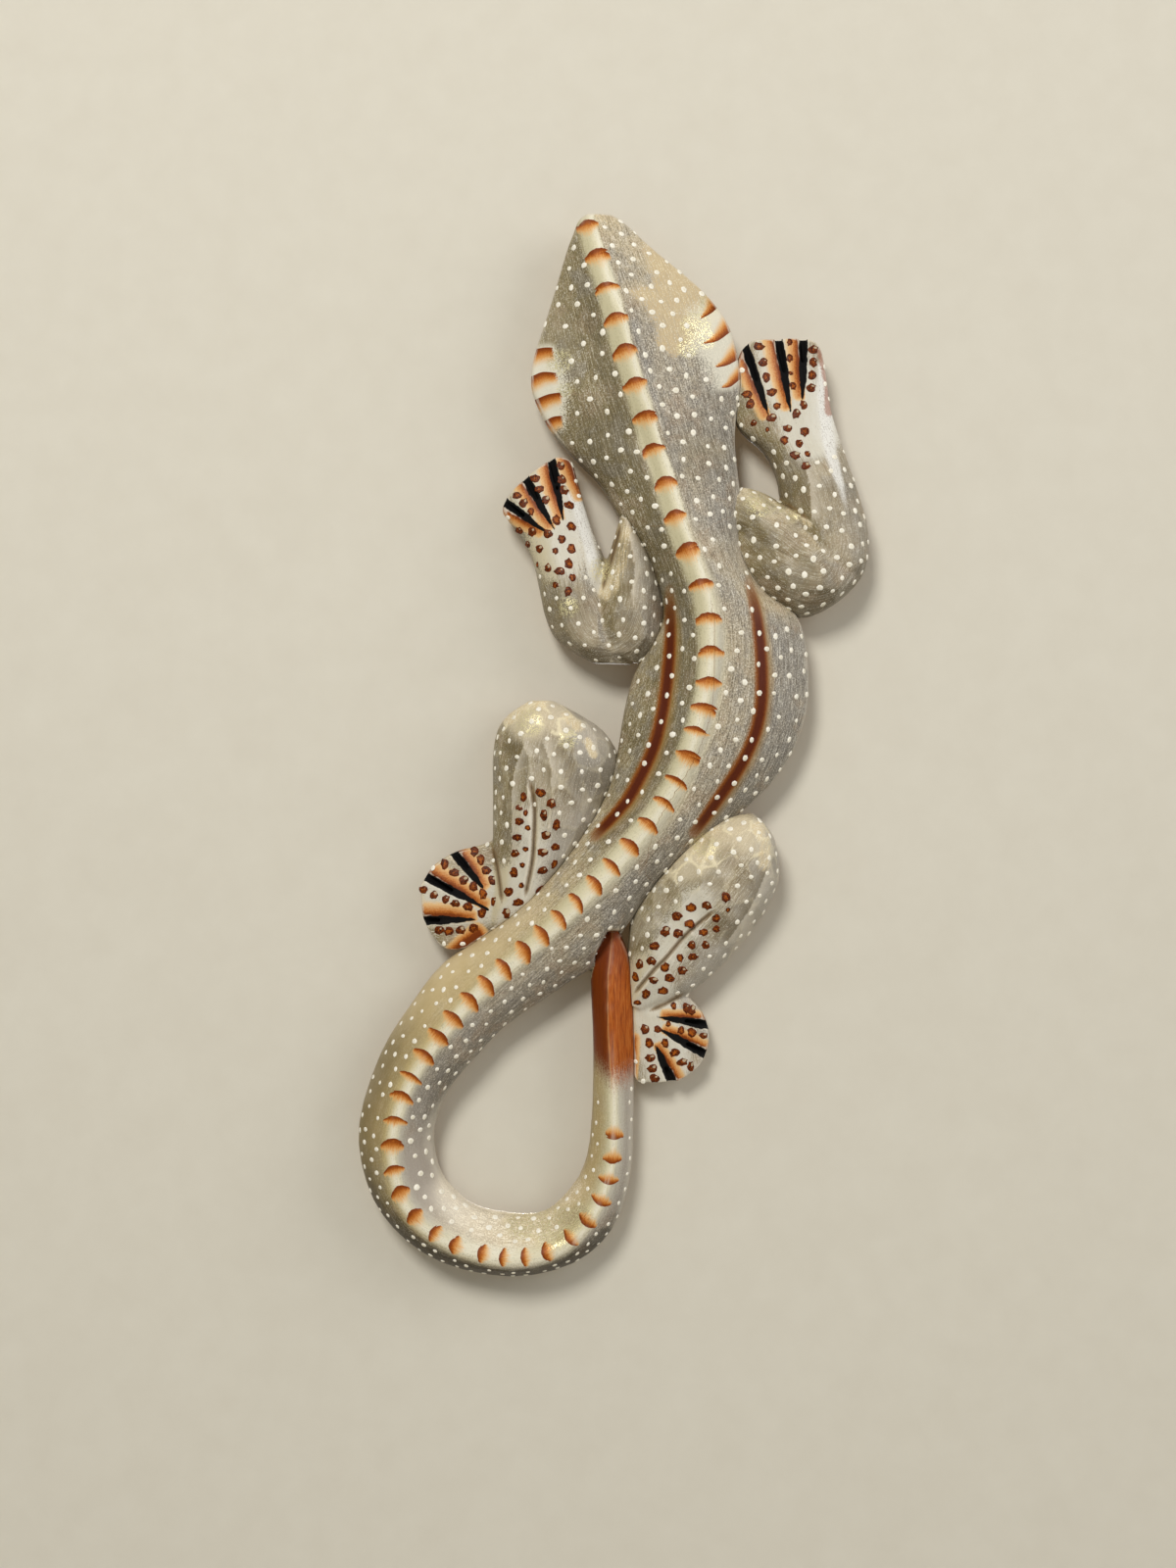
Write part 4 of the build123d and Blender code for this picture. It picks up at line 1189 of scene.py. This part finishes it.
# ---------------- assembly
def body_spots(body, points, along, left):
    """White dots on the ground of the body, clear of the band, the bars and the tip."""
    normals = normals_of(body.data)
    bars, inward = cheek_places(seen(points))
    count = np.where(bars > RIGHT_FROM, bars - RIGHT_COUNT, bars)
    cheek = (count > -0.4) & (count < 3.8) & (inward < 1.5)
    allowed = ((-normals[:, 1] > DOTS_FACE) & (np.abs(left) > np.interp(along, *BAND_KEPT_CLEAR))
               & ~cheek & (along > 4) & (along < 690) & (points[:, 1] < -6))
    spacing = np.interp(along, *DOT_SPACINGS) * np.where((left < 0) & (along < 110), 1.2, 1.0)
    chosen = scatter(points, allowed, spacing, 5)
    bend = np.interp(along, *BEND_DOTS) * (left > 0)
    size = np.interp(along, *DOT_SIZES) * (1 + bend)
    return [(points[i], normals[i], float(size[i])) for i in chosen]


def leg_spots(leg, name, points, pale, groove, seed):
    """The brown dots of a leg in their places, and white ones where the ground is left free."""
    normals = normals_of(leg.data)
    tree = BVHTree.FromObject(leg, bpy.context.evaluated_depsgraph_get())
    eye, flat = Vector(EYE), seen(points)
    brown, nearest_brown = [], np.full(len(points), np.inf)
    for x, z, *size in BROWN_DOTS[name]:
        hit, normal, *_ = tree.ray_cast(eye * MM, Vector((x, LAYOUT_PLANE, z)) - eye)
        if hit:
            brown.append((np.array(hit) / MM, normal, size[0] if size else 1.0))
            nearest_brown = np.minimum(nearest_brown, np.hypot(flat[:, 0] - x, flat[:, 1] - z))
    allowed = ((-normals[:, 1] > LEG_DOTS_FACE) & (nearest_brown > ROUND_BROWN) & (pale < 0.45)
               & (points[:, 1] < -5) & (groove > 3))
    chosen = scatter(points, allowed, np.full(len(points), LEG_DOT_SPACING), seed)
    return brown, [(points[i], normals[i], LEGS[name]["dots"]) for i in chosen]


skin_paint, limb_paint = body_paint(), leg_paint()
white = dot_paint("white_dot_paint", "F8F4E8", "EBE4D0", "DCD4BB", 0.0)
brown = dot_paint("brown_dot_paint", "743204", "300E00", "B05E14", 0.7)

body, points, along, left = carve_body()
own(body, skin_paint, "body_board")
white_spots, brown_spots = body_spots(body, points, along, left), []
for seed, (name, plan) in enumerate(LEGS.items(), start=11):
    leg, points, pale, groove = carve_leg(name, plan, seed)
    own(leg, limb_paint, name)
    on_leg = leg_spots(leg, name, points, pale, groove, seed)
    brown_spots += on_leg[0]
    white_spots += on_leg[1]

rng = random.Random(2)
white_spots = [(p, n, size * rng.uniform(0.8, 1.15)) for p, n, size in white_spots]
own(dots("white_dots", white_spots, 3, **WHITE_DOT), white)
own(dots("brown_dots", brown_spots, 4, **BROWN_DOT), brown)


# Hanger
def cut_cross(points):
    """Cuts the cross slot into the head of a screw."""
    low, high = points.min(axis=0), points.max(axis=0)
    x, z = np.abs(points[:, [0, 2]] - (low + high)[[0, 2]] / 2).T
    gap = np.minimum(np.maximum(x - CROSS_HALF, z - CROSS_REACH),
                     np.maximum(z - CROSS_HALF, x - CROSS_REACH))
    head = rise(points[:, 1], high[1] - SCREW_HEAD, high[1] - 0.5)
    points[:, 1] -= CROSS_DEPTH * (1 - rise(gap, -0.1, 0.25)) * head


screw_zinc = zinc_steel("screw_zinc", "CFCDC4", "98917C")
hanger = {
    "hanger_strap": (zinc_steel("strap_zinc", "C2C2BE", "8E8B80"), "strap_steel", "gecko"),
    "hanger_screw_1": (screw_zinc, "screw_steel", "gecko"),
    "hanger_ring": (zinc_steel("ring_zinc", "CBCBC8", "9A9A96"), "ring_steel", "ring"),
    "hanger_screw_2": (screw_zinc, "screw_steel", "gecko"),
}
for node, (metal, slot, rides_on) in hanger.items():
    piece = skin(node + "_worn", merged_copy(node), METAL_GRAIN)
    points = relaxed(places_of(piece.data), links_of(piece.data), 2, 0.4)
    if "screw" in node:
        cut_cross(points)
    place(piece.data, points)
    own(piece, metal, node, rides_on)

peg_finish = bamboo()
for name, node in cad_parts.items():
    if "_peg_" in name:
        node.data.materials.clear()
        node.data.materials.append(peg_finish)


# ---------------- stage, m
MIDDLE = Vector((-0.02, 0.0, -0.24))
SIDE, TOP, BOTTOM, FRONT, BACK = 2.2, 0.9, -1.3, -3.0, 0.3
# The wall leans a little, because the hanger holds the head further off it than the tail
WALL_TOP_GAP, WALL_FOOT_GAP, FOOT = 0.014, 0.006, -0.5


def stage_finish(name):
    """A plain pale card that takes shadows, but is clear from behind and to light from there."""
    material = new_material(name)
    colour = blend("CFC9BA", "D6D1C3", cloud(object_place(), 60.0, 3.0))
    shader = Tone.node("BsdfPrincipled", inputs={"Base Color": colour, "Roughness": 0.9})
    clear = Tone.node("BsdfTransparent")
    behind = Tone.node("NewGeometry", output=6)
    on_the_way_to_a_lamp = Tone.node("LightPath", output=1)
    return end_in(Tone.node("MixShader", inputs={0: behind.top(on_the_way_to_a_lamp), 1: shader,
                                                 2: clear}), material)


def card(name, corners, finish_of_card):
    bm = bmesh.new()
    bm.faces.new([bm.verts.new(c) for c in corners])
    mesh = bpy.data.meshes.new(name)
    bm.to_mesh(mesh)
    bm.free()
    mesh.materials.append(finish_of_card)
    link(bpy.data.objects.new(name, mesh))


def lamp(name, place_at, size, power, tint):
    light = bpy.data.lights.new(name, "AREA")
    light.shape = "DISK"
    light.size = size
    light.energy = power
    light.color = tint
    obj = link(bpy.data.objects.new(name, light))
    obj.location = place_at
    obj.rotation_euler = (MIDDLE - Vector(place_at)).to_track_quat("-Z", "Y").to_euler()


slope = (WALL_TOP_GAP - WALL_FOOT_GAP) / -FOOT
high, low = WALL_TOP_GAP + slope * TOP, WALL_FOOT_GAP + slope * (BOTTOM - FOOT)
pale_card = stage_finish("pale_card")
card("wall", [(-SIDE, high, TOP), (-SIDE, low, BOTTOM), (SIDE, low, BOTTOM), (SIDE, high, TOP)],
     pale_card)
card("floor", [(-SIDE, FRONT, BOTTOM), (SIDE, FRONT, BOTTOM), (SIDE, BACK, BOTTOM),
               (-SIDE, BACK, BOTTOM)], pale_card)

lamp("lamp_left", (-0.5, -1.75, 0.8), 0.6, 27, (1.0, 0.985, 0.95))
lamp("window_right", (1.6, -1.1, 0.5), 1.4, 13, (0.99, 0.99, 1.0))
lamp("lamp_back", (-0.02, 7.0, -0.24), 0.6, 55, (1.0, 0.99, 0.97))

scene = bpy.context.scene
scene.view_settings.view_transform = "Standard"
scene.world = bpy.data.worlds.new("room")
scene.world.use_nodes = True
tint, strength = scene.world.node_tree.nodes["Background"].inputs[:2]
tint.default_value = (1.0, 0.99, 0.97, 1)
strength.default_value = 0.3

camera = bpy.data.cameras.new("camera")
camera.lens = 50
camera.sensor_width = 36
view = link(bpy.data.objects.new("camera", camera))
view.location = Vector(EYE) * MM
view.rotation_euler = (math.radians(90), 0, 0)
scene.camera = view
